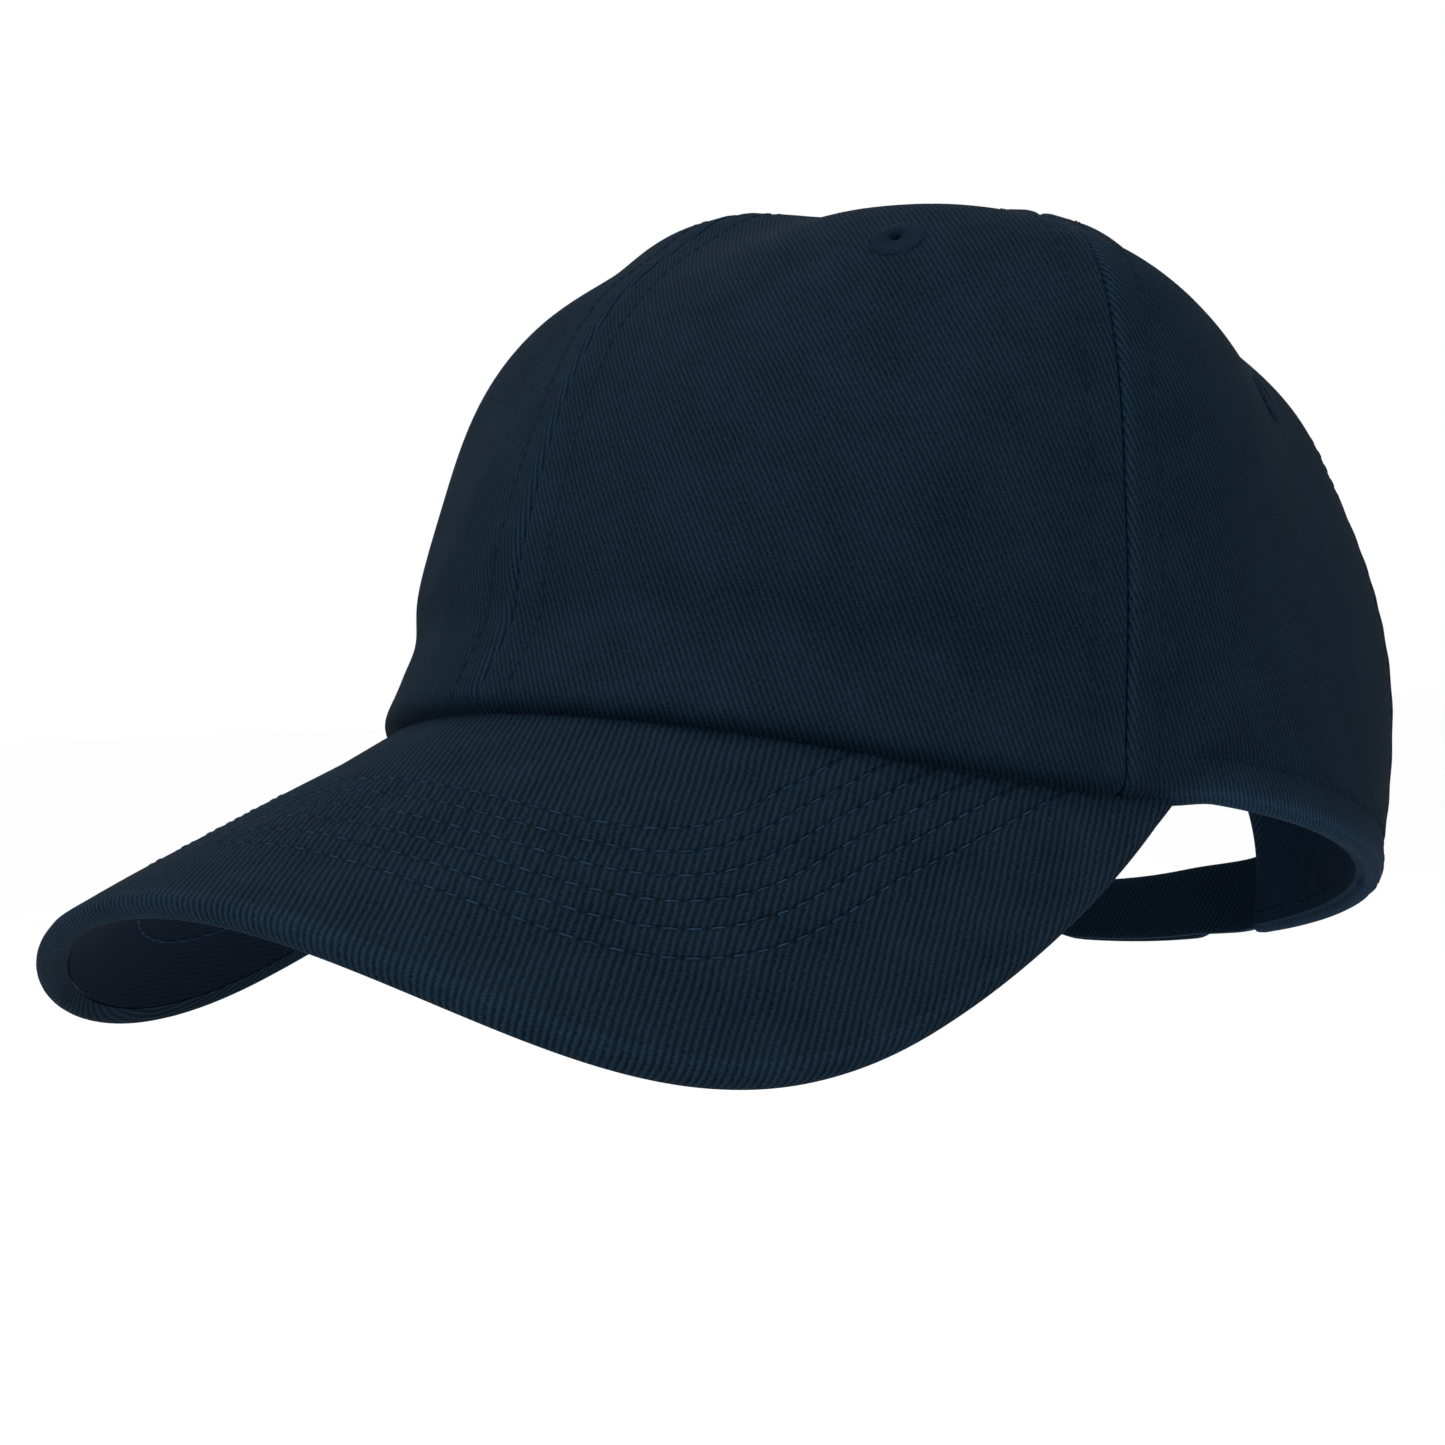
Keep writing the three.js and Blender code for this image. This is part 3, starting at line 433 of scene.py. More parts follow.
class Piece:
    """Makes finished Blender meshes from arrays and gives them to a body, a node and a material slot."""

    def __init__(self, form: CapForm) -> None:
        """Keeps the form whose frame every piece is moved into."""
        self.form = form

    def mesh(
        self, name: str, points: Array, faces: Sequence, uvs: dict, crease_deg: float = 45.0
    ) -> bpy.types.Object:
        """Makes one object.

        Args:
            name: The piece's name.
            points: Vertices in mm in the rim's frame.
            faces: Vertex numbers of each face.
            uvs: Named layers of two numbers for each vertex.
            crease_deg: Edges that turn more than this are drawn sharp.

        Returns:
            The object, linked to the scene.
        """
        faces = [tuple(int(i) for i in f) for f in faces] if not isinstance(faces, Array) else faces
        used = np.unique(np.concatenate([np.asarray(f).ravel() for f in faces]))
        renumber = np.zeros(len(points), int)
        renumber[used] = np.arange(len(used))
        packed = [[int(renumber[i]) for i in f] for f in faces]
        data = bpy.data.meshes.new(name)
        data.from_pydata(self.form.to_frame(points[used]).tolist(), [], packed)
        corner = np.zeros(len(data.loops), np.int32)
        data.loops.foreach_get("vertex_index", corner)
        for layer, values in uvs.items():
            uv = data.uv_layers.new(name=layer)
            uv.data.foreach_set("uv", values.reshape(-1, 2)[used][corner].astype(np.float32).ravel())
        data.polygons.foreach_set("use_smooth", np.ones(len(data.polygons), bool))
        data.set_sharp_from_angle(angle=math.radians(crease_deg))
        data.update()
        made = bpy.data.objects.new(name, data)
        bpy.context.scene.collection.objects.link(made)
        return made

    def sheet(self, name: str, skins: Skins) -> bpy.types.Object:
        """Returns an object made of a sheet's two skins and the walls between them."""
        points = np.concatenate([skins.outer.reshape(-1, 3), skins.inner.reshape(-1, 3)])
        layers = {"Cloth": skins.uv}
        worn = np.zeros(skins.uv.shape[:2]) if skins.wear is None else skins.wear
        layers["Wear"] = np.stack([worn, worn], -1)
        if skins.rows_uv is not None:
            layers["Rows"] = skins.rows_uv
        doubled = {k: np.concatenate([v.reshape(-1, 2)] * 2) for k, v in layers.items()}
        return self.mesh(name, points, skins.faces(), doubled)

    @staticmethod
    def give(made: bpy.types.Object, body: str, slot: str, finish: bpy.types.Material, *nodes: str) -> None:
        """Gives a piece its finish, the body it rides on and the CAD nodes that it stands for."""
        made.data.materials.append(finish)
        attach(made, body)
        if nodes:
            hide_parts(*nodes)
        LOG.info("%s: %d faces", made.name, len(made.data.polygons))


def thread(lines: Sequence[tuple], pitch: float, radius: float, fill: float = 0.88) -> tuple:
    """Stitches along lines on cloth, each one a thread that rises out of the cloth and dips back into it.

    Args:
        lines: Pairs of points along a seam and the cloth's outward normals there.
        pitch: Length from one stitch to the next.
        radius: Thread's radius.
        fill: Share of the pitch that shows.

    Returns:
        Points, faces and a layer of lengths, for Piece.mesh.
    """
    sides = 6
    stations = np.array([0.0, 0.07, 0.3, 0.7, 0.93, 1.0])
    girth = np.array([0.0, 0.75, 1.0, 1.0, 0.75, 0.0])
    sunk = np.array([-0.75, -0.45, 0.45, 0.45, -0.45, -0.75]) * radius
    points, faces, uv = [], [], []
    base = 0
    for line, normals in lines:
        total = run_along(line)[-1]
        count = int(total // pitch)
        if count < 1:
            continue
        start = (np.arange(count) + (1 - fill) / 2) * pitch + (total - count * pitch) / 2
        places = (start[:, None] + stations * pitch * fill).ravel()
        middle = resample(line, places)
        walked = run_along(line)
        normal = unit(np.stack([np.interp(places, walked, normals[:, k]) for k in range(3)], -1))
        way = unit(resample(line, places + 0.05) - resample(line, places - 0.05) + 1e-9)
        across = unit(np.cross(normal, way))
        shape = (count, len(stations), 1, 3)
        turn = np.arange(sides) / sides * 2 * math.pi
        ring = np.cos(turn)[:, None] * across.reshape(shape) + np.sin(turn)[:, None] * normal.reshape(shape)
        lift = normal.reshape(shape) * sunk[None, :, None, None]
        tube = middle.reshape(shape) + lift + ring * (girth * radius)[None, :, None, None]
        body = tube[:, 1:-1].reshape(count, -1, 3)
        ends = tube[:, [0, -1], 0]
        points.append(np.concatenate([body, ends], axis=1).reshape(-1, 3))
        uv.append(np.repeat(places.reshape(count, -1)[:, :1], body.shape[1] + 2, axis=1).ravel())
        each = []
        for r in range(3):
            for k in range(sides):
                n = (k + 1) % sides
                each.append((r * sides + k, r * sides + n, (r + 1) * sides + n, (r + 1) * sides + k))
        first, last = 4 * sides, 4 * sides + 1
        for k in range(sides):
            n = (k + 1) % sides
            each.append((first, n, k))
            each.append((last, 3 * sides + k, 3 * sides + n))
        size = 4 * sides + 2
        for j in range(count):
            faces.extend([tuple(base + j * size + i for i in f[::-1]) for f in each])
        base += count * size
    flat = np.concatenate(uv)
    return np.concatenate(points), faces, {"Cloth": np.stack([flat, flat], -1)}


# ---------------------------------------------------------------- finishes


def to_linear(code: str) -> tuple:
    """Returns the linear colour of an sRGB hex code."""
    parts = [int(code[i : i + 2], 16) / 255 for i in (1, 3, 5)]
    return tuple(c / 12.92 if c <= 0.04045 else ((c + 0.055) / 1.055) ** 2.4 for c in parts) + (1.0,)


class Signal:
    """A value inside a material's node tree, with arithmetic."""

    def __init__(self, tree: bpy.types.NodeTree, socket: bpy.types.NodeSocket) -> None:
        """Keeps the tree and the socket that carries the value."""
        self.tree, self.socket = tree, socket

    def math(self, operation: str, *others: Union["Signal", float]) -> "Signal":
        """Returns the result of a maths node fed with this value and others."""
        return add_node(self.tree, "ShaderNodeMath", [self, *others], operation=operation)

    def __add__(self, other: Union["Signal", float]) -> "Signal":
        """Returns the sum."""
        return self.math("ADD", other)

    def __sub__(self, other: Union["Signal", float]) -> "Signal":
        """Returns the difference."""
        return self.math("SUBTRACT", other)

    def __mul__(self, other: Union["Signal", float]) -> "Signal":
        """Returns the product."""
        return self.math("MULTIPLY", other)

    def wave(self) -> "Signal":
        """Returns a smooth wave from 0 to 1 that repeats with each whole number."""
        return (self * (2 * math.pi)).math("SINE") * 0.5 + 0.5

    def between(self, low: float, high: float) -> "Signal":
        """Returns 0 below low, 1 above high and a straight climb between, clipped."""
        return add_node(self.tree, "ShaderNodeMapRange", [self, low, high, 0.0, 1.0])


def add_node(
    tree: bpy.types.NodeTree,
    kind: str,
    feeds: Union[Sequence, dict] = (),
    out: Union[int, str] = 0,
    **settings,
) -> Signal:
    """Adds one node.

    Args:
        tree: The material's node tree.
        kind: Blender's name for the node.
        feeds: What goes into its inputs, in order, or by name as pairs. None leaves an input alone.
        out: The output that is wanted.
        **settings: The node's own properties.

    Returns:
        The wanted output.
    """
    node = tree.nodes.new(kind)
    for key, value in settings.items():
        setattr(node, key, value)
    pairs = feeds.items() if isinstance(feeds, dict) else enumerate(feeds)
    for key, value in pairs:
        if value is None:
            continue
        if isinstance(value, Signal):
            tree.links.new(value.socket, node.inputs[key])
        else:
            node.inputs[key].default_value = value
    return Signal(tree, node.outputs[out])


class Weave(Enum):
    """How a cloth or tape is made."""

    TWILL = "twill"
    PLAIN = "plain"
    HERRINGBONE = "herringbone"
    SATIN = "satin"
    FUZZ = "fuzz"
    HOOKS = "hooks"


@dataclass(frozen=True)
class Cloth:
    """A woven finish: rib spacing and direction in cloth lengths in mm, colours and depth of weave."""

    name: str
    weave: Weave
    light: str
    dark: str
    spacing: float
    angle_deg: float
    depth: float
    roughness: float = 0.92
    sheen: float = 0.004
    mottle: float = 0.16
    worn: str = "#1d3347"
    stitched_rows: bool = False

    def make(self) -> bpy.types.Material:
        """Returns the material: the weave's height drives its bump, and its colour from dark in the weave's
        hollows, as painted shade, to light on its ribs, as painted highlight.
        """
        material = bpy.data.materials.new(self.name)
        material.use_nodes = True
        tree = material.node_tree
        tree.nodes.clear()
        lengths = add_node(tree, "ShaderNodeUVMap", uv_map="Cloth")
        split = add_node(tree, "ShaderNodeSeparateXYZ", [lengths])
        x, y = split, Signal(tree, split.socket.node.outputs[1])
        slow = add_node(tree, "ShaderNodeTexNoise", {"Vector": lengths, "Scale": 0.09, "Detail": 3.0})
        fine = add_node(tree, "ShaderNodeTexNoise", {"Vector": lengths, "Scale": 1.9, "Detail": 3.0})
        height = self.height(x, y, slow, fine)
        # Painted shade and highlight: the colour darkens in the weave's hollows and lightens on its ribs with
        # the weave's height; the fine noise adds random tone.
        tone = (height * 0.55 + fine * 0.75).between(0.18, 1.06)
        tone = tone * (1 - self.mottle) + (slow - 0.5) * (2.2 * self.mottle)
        colour = self.mix(tree, tone, to_linear(self.dark), to_linear(self.light))
        wear = add_node(tree, "ShaderNodeSeparateXYZ", [add_node(tree, "ShaderNodeUVMap", uv_map="Wear")])
        rubbed = (wear * (height * 0.7 + fine * 0.6)).between(0.05, 1.0)
        colour = self.mix(tree, rubbed, colour, to_linear(self.worn))
        surface = height * self.depth + (fine - 0.5) * (0.25 * self.depth)
        if self.stitched_rows:
            surface, colour = self.rows(tree, surface, colour)
        normal = add_node(tree, "ShaderNodeBump", {"Strength": 1.0, "Distance": MM, "Height": surface})
        feeds = {
            "Base Color": colour,
            "Roughness": self.roughness,
            "Normal": normal,
            "Specular IOR Level": 0.02,
            "Sheen Weight": self.sheen,
            "Sheen Roughness": 0.5,
            "Sheen Tint": to_linear("#8fa2b8"),
        }
        shade = add_node(tree, "ShaderNodeBsdfPrincipled", feeds)
        add_node_output(tree, shade)
        return material

    def height(self, x: Signal, y: Signal, slow: Signal, fine: Signal) -> Signal:
        """Returns the weave's height from 0 to 1 at lengths x and y."""
        a = math.radians(self.angle_deg)
        wander = (slow - 0.5) * 0.8 + (fine - 0.5) * 0.55
        across = (x * (math.sin(a) / self.spacing)) - (y * (math.cos(a) / self.spacing)) + wander
        along = (x * (math.cos(a) / self.spacing)) + (y * (math.sin(a) / self.spacing))
        if self.weave is Weave.TWILL:
            rib = across.wave().math("POWER", 0.8)
            yarns = (along * 1.6 + across * 0.5).wave()
            return rib * (yarns * 0.28 + 0.72)
        if self.weave is Weave.PLAIN:
            return across.wave() * 0.5 + along.wave() * 0.5
        if self.weave is Weave.HERRINGBONE:
            fold = (x * (1 / 6.0)).math("PINGPONG", 0.5) * (2.4 / self.spacing * 2.5)
            return (fold + y * (1 / self.spacing)).wave()
        if self.weave is Weave.SATIN:
            return along.wave() * 0.25 + fine * 0.2
        tufts = add_node(
            x.tree,
            "ShaderNodeTexVoronoi",
            {"Vector": add_node(x.tree, "ShaderNodeCombineXYZ", [x, y]), "Scale": 1 / self.spacing},
        )
        if self.weave is Weave.HOOKS:
            return (tufts * 1.4).math("MULTIPLY_ADD", -1.0, 1.0)
        return fine * 0.8 + tufts * 0.4

    @staticmethod
    def mix(
        tree: bpy.types.NodeTree, factor: Signal, a: Union[Signal, tuple], b: Union[Signal, tuple]
    ) -> Signal:
        """Returns the mix of two colours by a factor."""
        return add_node(tree, "ShaderNodeMix", {0: factor, 6: a, 7: b}, out=2, data_type="RGBA")

    def rows(self, tree: bpy.types.NodeTree, surface: Signal, colour: Signal) -> tuple:
        """Sinks the visor's cloth along its stitch rows, darkens it there as painted shade, and draws puckers
        like rungs between them.

        Args:
            tree: The material's node tree.
            surface: Height of the cloth in mm.
            colour: Its colour.

        Returns:
            The new height and colour.
        """
        rows = add_node(tree, "ShaderNodeSeparateXYZ", [add_node(tree, "ShaderNodeUVMap", uv_map="Rows")])
        along = Signal(tree, rows.socket.node.outputs[1])
        inside = rows.between(-0.45, -0.2) * (rows.math("MULTIPLY", -1.0) + 5.45).between(0.0, 0.25)
        off = (rows + 0.5).math("FRACT").math("SUBTRACT", 0.5).math("ABSOLUTE")
        groove_with_painted_shade = (off * -1.0 + 0.11).between(0.0, 0.11) * inside
        rung = (along * (1 / 3.7)).wave() * (off.between(0.02, 0.3)) * inside
        surface = surface - groove_with_painted_shade * 0.40 + rung * 0.46
        # Painted shade: the cloth is darkened towards near black in the sunk stitch rows.
        return surface, self.mix(tree, groove_with_painted_shade * 0.4, colour, to_linear("#03070c"))


def add_node_output(tree: bpy.types.NodeTree, shade: Signal) -> None:
    """Joins a shader to the material's output."""
    out = tree.nodes.new("ShaderNodeOutputMaterial")
    tree.links.new(shade.socket, out.inputs["Surface"])


@dataclass(frozen=True)
class Hard:
    """A hard finish: pressed plated steel or moulded plastic, with fine grain and slight scuffing."""

    name: str
    colour: str
    metal: float
    roughness: float
    grain_mm: float
    depth: float

    def make(self) -> bpy.types.Material:
        """Returns the material, whose roughness and bump follow a fine grain in the object's own space."""
        material = bpy.data.materials.new(self.name)
        material.use_nodes = True
        tree = material.node_tree
        tree.nodes.clear()
        place = add_node(tree, "ShaderNodeTexCoord", out="Object")
        grain = add_node(
            tree, "ShaderNodeTexNoise", {"Vector": place, "Scale": 1 / (self.grain_mm * MM), "Detail": 4.0}
        )
        tone = Cloth.mix(tree, grain * 0.35, to_linear(self.colour), to_linear("#101214"))
        normal = add_node(
            tree, "ShaderNodeBump", {"Strength": 1.0, "Distance": MM, "Height": grain * self.depth}
        )
        feeds = {
            "Base Color": tone,
            "Metallic": self.metal,
            "Roughness": grain * 0.2 + self.roughness,
            "IOR": 1.49,
            "Normal": normal,
        }
        add_node_output(tree, add_node(tree, "ShaderNodeBsdfPrincipled", feeds))
        return material


# Navy cotton twill, garment-washed so that it has no shine and rubs paler at seams and edges: left-hand ribs
# 0.94 mm apart on the crown, a coarser cut across the visor, and a flatter one under it, whose darker colours
# are painted shade under the visor.
CROWN_TWILL = Cloth("crown_twill", Weave.TWILL, "#142533", "#04090f", 0.94, 115.0, 0.17)
VISOR_TWILL = Cloth("visor_twill", Weave.TWILL, "#162836", "#03070c", 1.15, 60.3, 0.29, stitched_rows=True)
# Painted shade: the same twill as the visor's top, in darker colours for the shaded underside.
SHADED_UNDER_TWILL = Cloth("visor_under_twill_painted_shade", Weave.TWILL, "#071320", "#050c16", 1.15, 60.3, 0.06)
# Cotton tape woven in a herringbone, which reads as fine chevrons.
SEAM_TAPE = Cloth("seam_tape_cotton", Weave.HERRINGBONE, "#101c29", "#060c14", 0.9, 0.0, 0.12)
# Brushed cotton against the head: a fine diagonal rib, blurred by its nap.
SWEATBAND_COTTON = Cloth("brushed_sweatband_cotton", Weave.TWILL, "#17283a", "#09121c", 0.7, 45.0, 0.08)
# Polyester satin ribbon, smooth and a little shiny along its length.
LABEL_SATIN = Cloth(
    "label_satin_ribbon", Weave.SATIN, "#e9e6df", "#cfcbc2", 0.5, 0.0, 0.04, 0.45, 0.1, 0.05, "#f4f2ec"
)
# Nylon hook and loop tapes: stiff bristles that catch small lights, and a matt fuzz.
HOOK_TAPE = Cloth("nylon_hook_tape", Weave.HOOKS, "#0f161f", "#04070b", 1.4, 0.0, 0.5, 0.6, 0.0)
LOOP_TAPE = Cloth("nylon_loop_tape", Weave.FUZZ, "#101923", "#05090e", 1.1, 0.0, 0.4, 0.95, 0.5)
# Spun polyester threads: dark and sunk in the crown's seams, paler on the visor, and laid side by side at the
# eyelets.
TOPSTITCH_THREAD = Cloth("topstitch_thread", Weave.PLAIN, "#11222f", "#08131d", 0.5, 45.0, 0.05, 0.85, 0.0)
SEWING_THREAD = Cloth("sewing_thread", Weave.PLAIN, "#1a3145", "#0f1f2e", 0.5, 45.0, 0.05, 0.8, 0.0)
EYELET_THREAD = Cloth("eyelet_thread", Weave.SATIN, "#15293b", "#060d15", 0.42, 0.0, 0.10, 0.75, 0.0)
# Nickel-plated pressed steel, bright with slight scuffs, and moulded polyethylene, dull and dark.
PLATED_STEEL = Hard("plated_pressed_steel", "#a9adb2", 1.0, 0.3, 0.6, 0.01)
MOULDED_BOARD = Hard("moulded_visor_board", "#2c2f33", 0.0, 0.5, 0.4, 0.03)


class Finishes:
    """Every finish of the cap, made once and shared."""

    def __init__(self) -> None:
        """Makes the finishes."""
        cloths = (CROWN_TWILL, VISOR_TWILL, SHADED_UNDER_TWILL, SEAM_TAPE, SWEATBAND_COTTON, LABEL_SATIN)
        tapes = (HOOK_TAPE, LOOP_TAPE)
        threads = (TOPSTITCH_THREAD, SEWING_THREAD, EYELET_THREAD)
        self.made = {
            recipe.name: recipe.make() for recipe in (*cloths, *tapes, *threads, PLATED_STEEL, MOULDED_BOARD)
        }

    def of(self, recipe: Union[Cloth, Hard]) -> bpy.types.Material:
        """Returns the material of a finish."""
        return self.made[recipe.name]


# ---------------------------------------------------------------- crown


@dataclass(frozen=True)
class EyeletPlace:
    """Where an eyelet is worked into a panel."""

    node: str
    bearing_deg: float
    up: float


EYELETS = (
    EyeletPlace("left_front_eyelet", 35.0, 0.555),
    EyeletPlace("right_front_eyelet", -43.0, 0.555),
    EyeletPlace("left_side_eyelet", 92.0, 0.5),
    EyeletPlace("right_side_eyelet", -92.0, 0.5),
    EyeletPlace("left_rear_eyelet", 146.0, 0.56),
    EyeletPlace("right_rear_eyelet", -146.0, 0.56),
)


@dataclass
class Crown(Piece):
    """Six panels with their seams, hems, topstitching, inside tapes and eyelets."""

    form: CapForm
    twill: float = 0.9
    seam_gap: float = 0.3
    hem_round: float = 1.6
    hem_flap: float = 8.0
    topstitch_in: float = 6.6
    stitch_pitch: float = 3.0
    thread_radius: float = 0.19
    arch_half_deg: float = 21.5
    arch_top: float = 0.3
    rim_columns: float = 0.35
    button_ring: float = 2.7
    near_rows: int = 22
    near_reach: float = 13.0
    far_rows: int = 118
    turn_rows: int = 9
    eyelet_hole: float = 2.7
    tape_width: float = 12.5
    tape_thick: float = 0.6
    tape_depth: float = 1.78
    tape_low: float = 0.012
    tape_high: float = 0.93
    binding_width: float = 8.0
    stitches: list = field(default_factory=list)

    def columns(self, count: int, arch: bool, left: Rule, right: Rule) -> tuple:
        """Share across the panel, low and high height shares of each column.

        Args:
            count: Number of columns.
            arch: True where the half-moon is cut out of the panel's right-hand end.
            left: Left seam's bearing at a height share.
            right: Right seam's bearing.

        Returns:
            Three arrays.
        """
        c = np.linspace(0, 1, count)
        if not arch:
            one = np.ones(count)
            top = lerp(left(one), right(one), c)
            return c, np.zeros(count), self.form.closed_to(top, self.button_ring)
        half = math.radians(self.arch_half_deg)
        swing = np.clip((c - self.rim_columns) / (1 - self.rim_columns), 0, 1) * math.pi / 2
        low = self.arch_top * np.sin(swing)
        seam = self.form.rear_seam(low)
        on_rim = lerp(seam, math.pi - half, c / self.rim_columns)
        bearing = np.where(c < self.rim_columns, on_rim, math.pi - half * np.cos(swing))
        share = (bearing - seam) / (math.pi - seam)
        top = lerp(self.form.rear_seam(np.ones(count)), math.pi, share)
        return share, low, self.form.closed_to(top, self.button_ring)

    def grid(self, share: Array, low: Array, high: Array, left: Rule, right: Rule) -> tuple:
        """Bearings, height shares and lengths of the panel's rows, closer together near its low edge.

        Args:
            share: Share across the panel of each column.
            low: Its low height share.
            high: Its high one.
            left: Left seam's bearing at a height share.
            right: Right seam's bearing.

        Returns:
            Bearings, height shares and lengths up the columns, each with a row for each row of the panel.
        """
        s = np.linspace(0, 1, 500)[:, None]
        up = high - (high - low) * (1 - s) ** 3
        bearing = lerp(left(up), right(up), share)
        walked = run_along(self.form.crown(bearing, up))
        near = np.linspace(0, self.near_reach, self.near_rows, endpoint=False)
        far = np.linspace(0, 1, self.far_rows)
        rows = np.concatenate(
            [np.repeat(near[:, None], len(share), 1), lerp(self.near_reach, walked[-1], far[:, None])]
        )
        place = np.stack([np.interp(rows[:, j], walked[:, j], up[:, j]) for j in range(len(share))], 1)
        return lerp(left(place), right(place), share), place, rows

    def panel(
        self, node: str, left: Rule, right: Rule, count: int, arch: int, eyelet: EyeletPlace
    ) -> bpy.types.Object:
        """One panel: its face on the worn crown, turned under at its low edge.

        The face dips into the seams at its sides, swells beside them, sinks along its topstitching and
        puckers between. At the low edge the cloth turns round a hem and runs a short way up the inside.

        Args:
            node: The CAD node that it stands for.
            left: Left seam's bearing at a height share.
            right: Right seam's bearing.
            count: Number of columns.
            arch: 0 for none, 1 where the half-moon is at the right end and -1 at the left.
            eyelet: The eyelet worked into it.

        Returns:
            The object.
        """
        form = self.form
        if arch < 0:
            share, low, high = self.columns(count, True, form.rear_seam, lambda up: np.full_like(up, math.pi))
            share, low, high = 1 - share[::-1], low[::-1], high[::-1]
        else:
            share, low, high = self.columns(count, arch > 0, left, right)
        if "front" not in node:
            foot = lerp(left(low), right(low), share)
            raised = 0.85 * self.hem_round * smooth(70, 77, np.degrees(np.abs(foot)))
            low = low + np.array([form.share_at(float(b), float(r)) for b, r in zip(foot, raised)])
        half = self.seam_gap / 2
        inner_left = lambda up: left(up) + form.ring_angle(left(up), up, half)
        inner_right = lambda up: right(up) - form.ring_angle(right(up), up, half)
        bearing, up, rows = self.grid(share, low, high, inner_left, inner_right)
        base = form.worn(bearing, up)
        normal = form.normal(bearing, up)
        side = np.minimum(nearest(base, base[:, 0]), nearest(base, base[:, -1]))
        hem = nearest(base, base[0])
        pucker = np.sin(rows * (2 * math.pi / 7.3) + np.sin(rows / 9.0) * 2.0)
        off = -0.85 * bump(side, 0.0, 0.50) + 0.18 * bump(side, 2.2, 1.6)
        off -= 0.14 * bump(side, self.topstitch_in, 0.9)
        off += 0.10 * pucker * bump(side, 4.2, 2.6) * (1 - smooth(0.8, 0.97, up))
        hemmed = smooth(66, 78, np.degrees(np.abs(bearing))) if "front" not in node else 0.0
        off += hemmed * (0.45 * bump(hem, 2.2, 2.4) - 0.20 * bump(hem, self.topstitch_in, 0.9))
        face = base + normal * off[..., None]
        back = face - normal * self.twill
        middle = count // 2
        x = run_along(face, axis=1)
        x = x - x[:, middle : middle + 1]
        y = rows
        if arch:
            x, y = self.rear_lengths(bearing, up)
        outer, inner, uv = self.turned_under(face, back, normal, np.stack([x, y], -1))
        wear = 0.85 * np.exp(-hem / 2.2) * hemmed + 0.45 * np.exp(-side / 1.2)
        turned = 0.6 * (wear[:1] * 0 + (hemmed[:1] if np.ndim(hemmed) else 0.0))
        wear = np.concatenate([np.repeat(turned, len(outer) - len(wear), 0), wear])
        place = form.worn(np.array(math.radians(eyelet.bearing_deg)), np.array(eyelet.up))
        middles = (outer[:-1, :-1] + outer[1:, 1:]) / 2
        keep = np.linalg.norm(middles - place, axis=-1) > self.eyelet_hole
        self.seam_stitches(face, normal, side, hem, hemmed)
        return self.sheet(node + "_cloth", Skins(outer, inner, uv, keep, wear))

    def rear_lengths(self, bearing: Array, up: Array) -> tuple:
        """Returns lengths of cloth round the crown from a rear panel's middle, and up it from the rim."""
        middle = math.copysign(math.radians(150.0), bearing.mean())
        ring = 2e-3 / self.form.ring_angle(np.full_like(up, middle), up, 1.0)
        climb = np.linspace(0, 1, 400)
        walked = run_along(self.form.crown(np.full_like(climb, middle), climb))
        return (bearing - middle) * ring / 2e-3, np.interp(up, climb, walked)

    def turned_under(self, face: Array, back: Array, normal: Array, uv: Array) -> tuple:
        """Adds the rows of cloth that turn under the panel's low edge and run up inside it.

        Args:
            face: The face's points.
            back: The same points at the back of the cloth.
            normal: Outward normals.
            uv: Cloth lengths.

        Returns:
            Outer skin, inner skin and lengths with the new rows first.
        """
        edge, n = face[0], normal[0]
        along = unit(np.gradient(edge, axis=0))
        out = unit(np.cross(along, n))
        out = np.where((out * (edge - face[3])).sum(-1, keepdims=True) < 0, -out, out)
        turn = np.linspace(math.pi, 0, self.turn_rows, endpoint=False)[:, None, None]
        r = self.hem_round
        outer_turn = edge - n * r + (n * np.cos(turn) + out * np.sin(turn)) * r
        thin = r - self.twill
        inner_turn = edge - n * r + (n * np.cos(turn) + out * np.sin(turn)) * thin
        reach = np.array([self.hem_flap, self.hem_flap * 0.5])[:, None, None]
        flap_outer = edge - n * (2 * r) - out * reach
        flap_inner = flap_outer + n * self.twill
        outer = np.concatenate([flap_outer, outer_turn, face])
        inner = np.concatenate([flap_inner, inner_turn, back])
        down = np.concatenate([-(reach[:, 0, 0] + r * math.pi), -turn[:, 0, 0] * r])
        round_ = np.broadcast_to(uv[0, :, 0], (len(down), uv.shape[1]))
        extra = np.stack([round_, uv[0, :, 1] + down[:, None]], -1)
        return outer, inner, np.concatenate([extra, uv])

    def seam_stitches(self, face: Array, normal: Array, side: Array, hem: Array, hemmed: Array) -> None:
        """Keeps the lines of topstitching beside both side seams and along a hemmed edge."""
        at = self.topstitch_in
        height, width = side.shape
        middle = width // 2
        for flip in (False, True):
            cols = np.arange(width)[::-1][:middle] if flip else np.arange(middle)
            places = ((r, self.crossing(side[r, cols], at)) for r in range(2, height - 8))
            picked = [(r, c) for r, c in places if c is not None]
            if len(picked) < 8:
                continue
            line = np.stack([self.pick(face[r, cols], c) for r, c in picked])
            norm = np.stack([self.pick(normal[r, cols], c) for r, c in picked])
            self.stitches.append((line, norm))
        if np.ndim(hemmed) == 0:
            return
        line, norm = [], []
        for c in range(width):
            r = self.crossing(hem[:, c], at)
            if r is not None and side[int(r), c] > at * 0.6 and hemmed[0, c] > 0.5:
                line.append(self.pick(face[:, c], r))
                norm.append(self.pick(normal[:, c], r))
        if len(line) > 8:
            self.stitches.append((np.stack(line), np.stack(norm)))

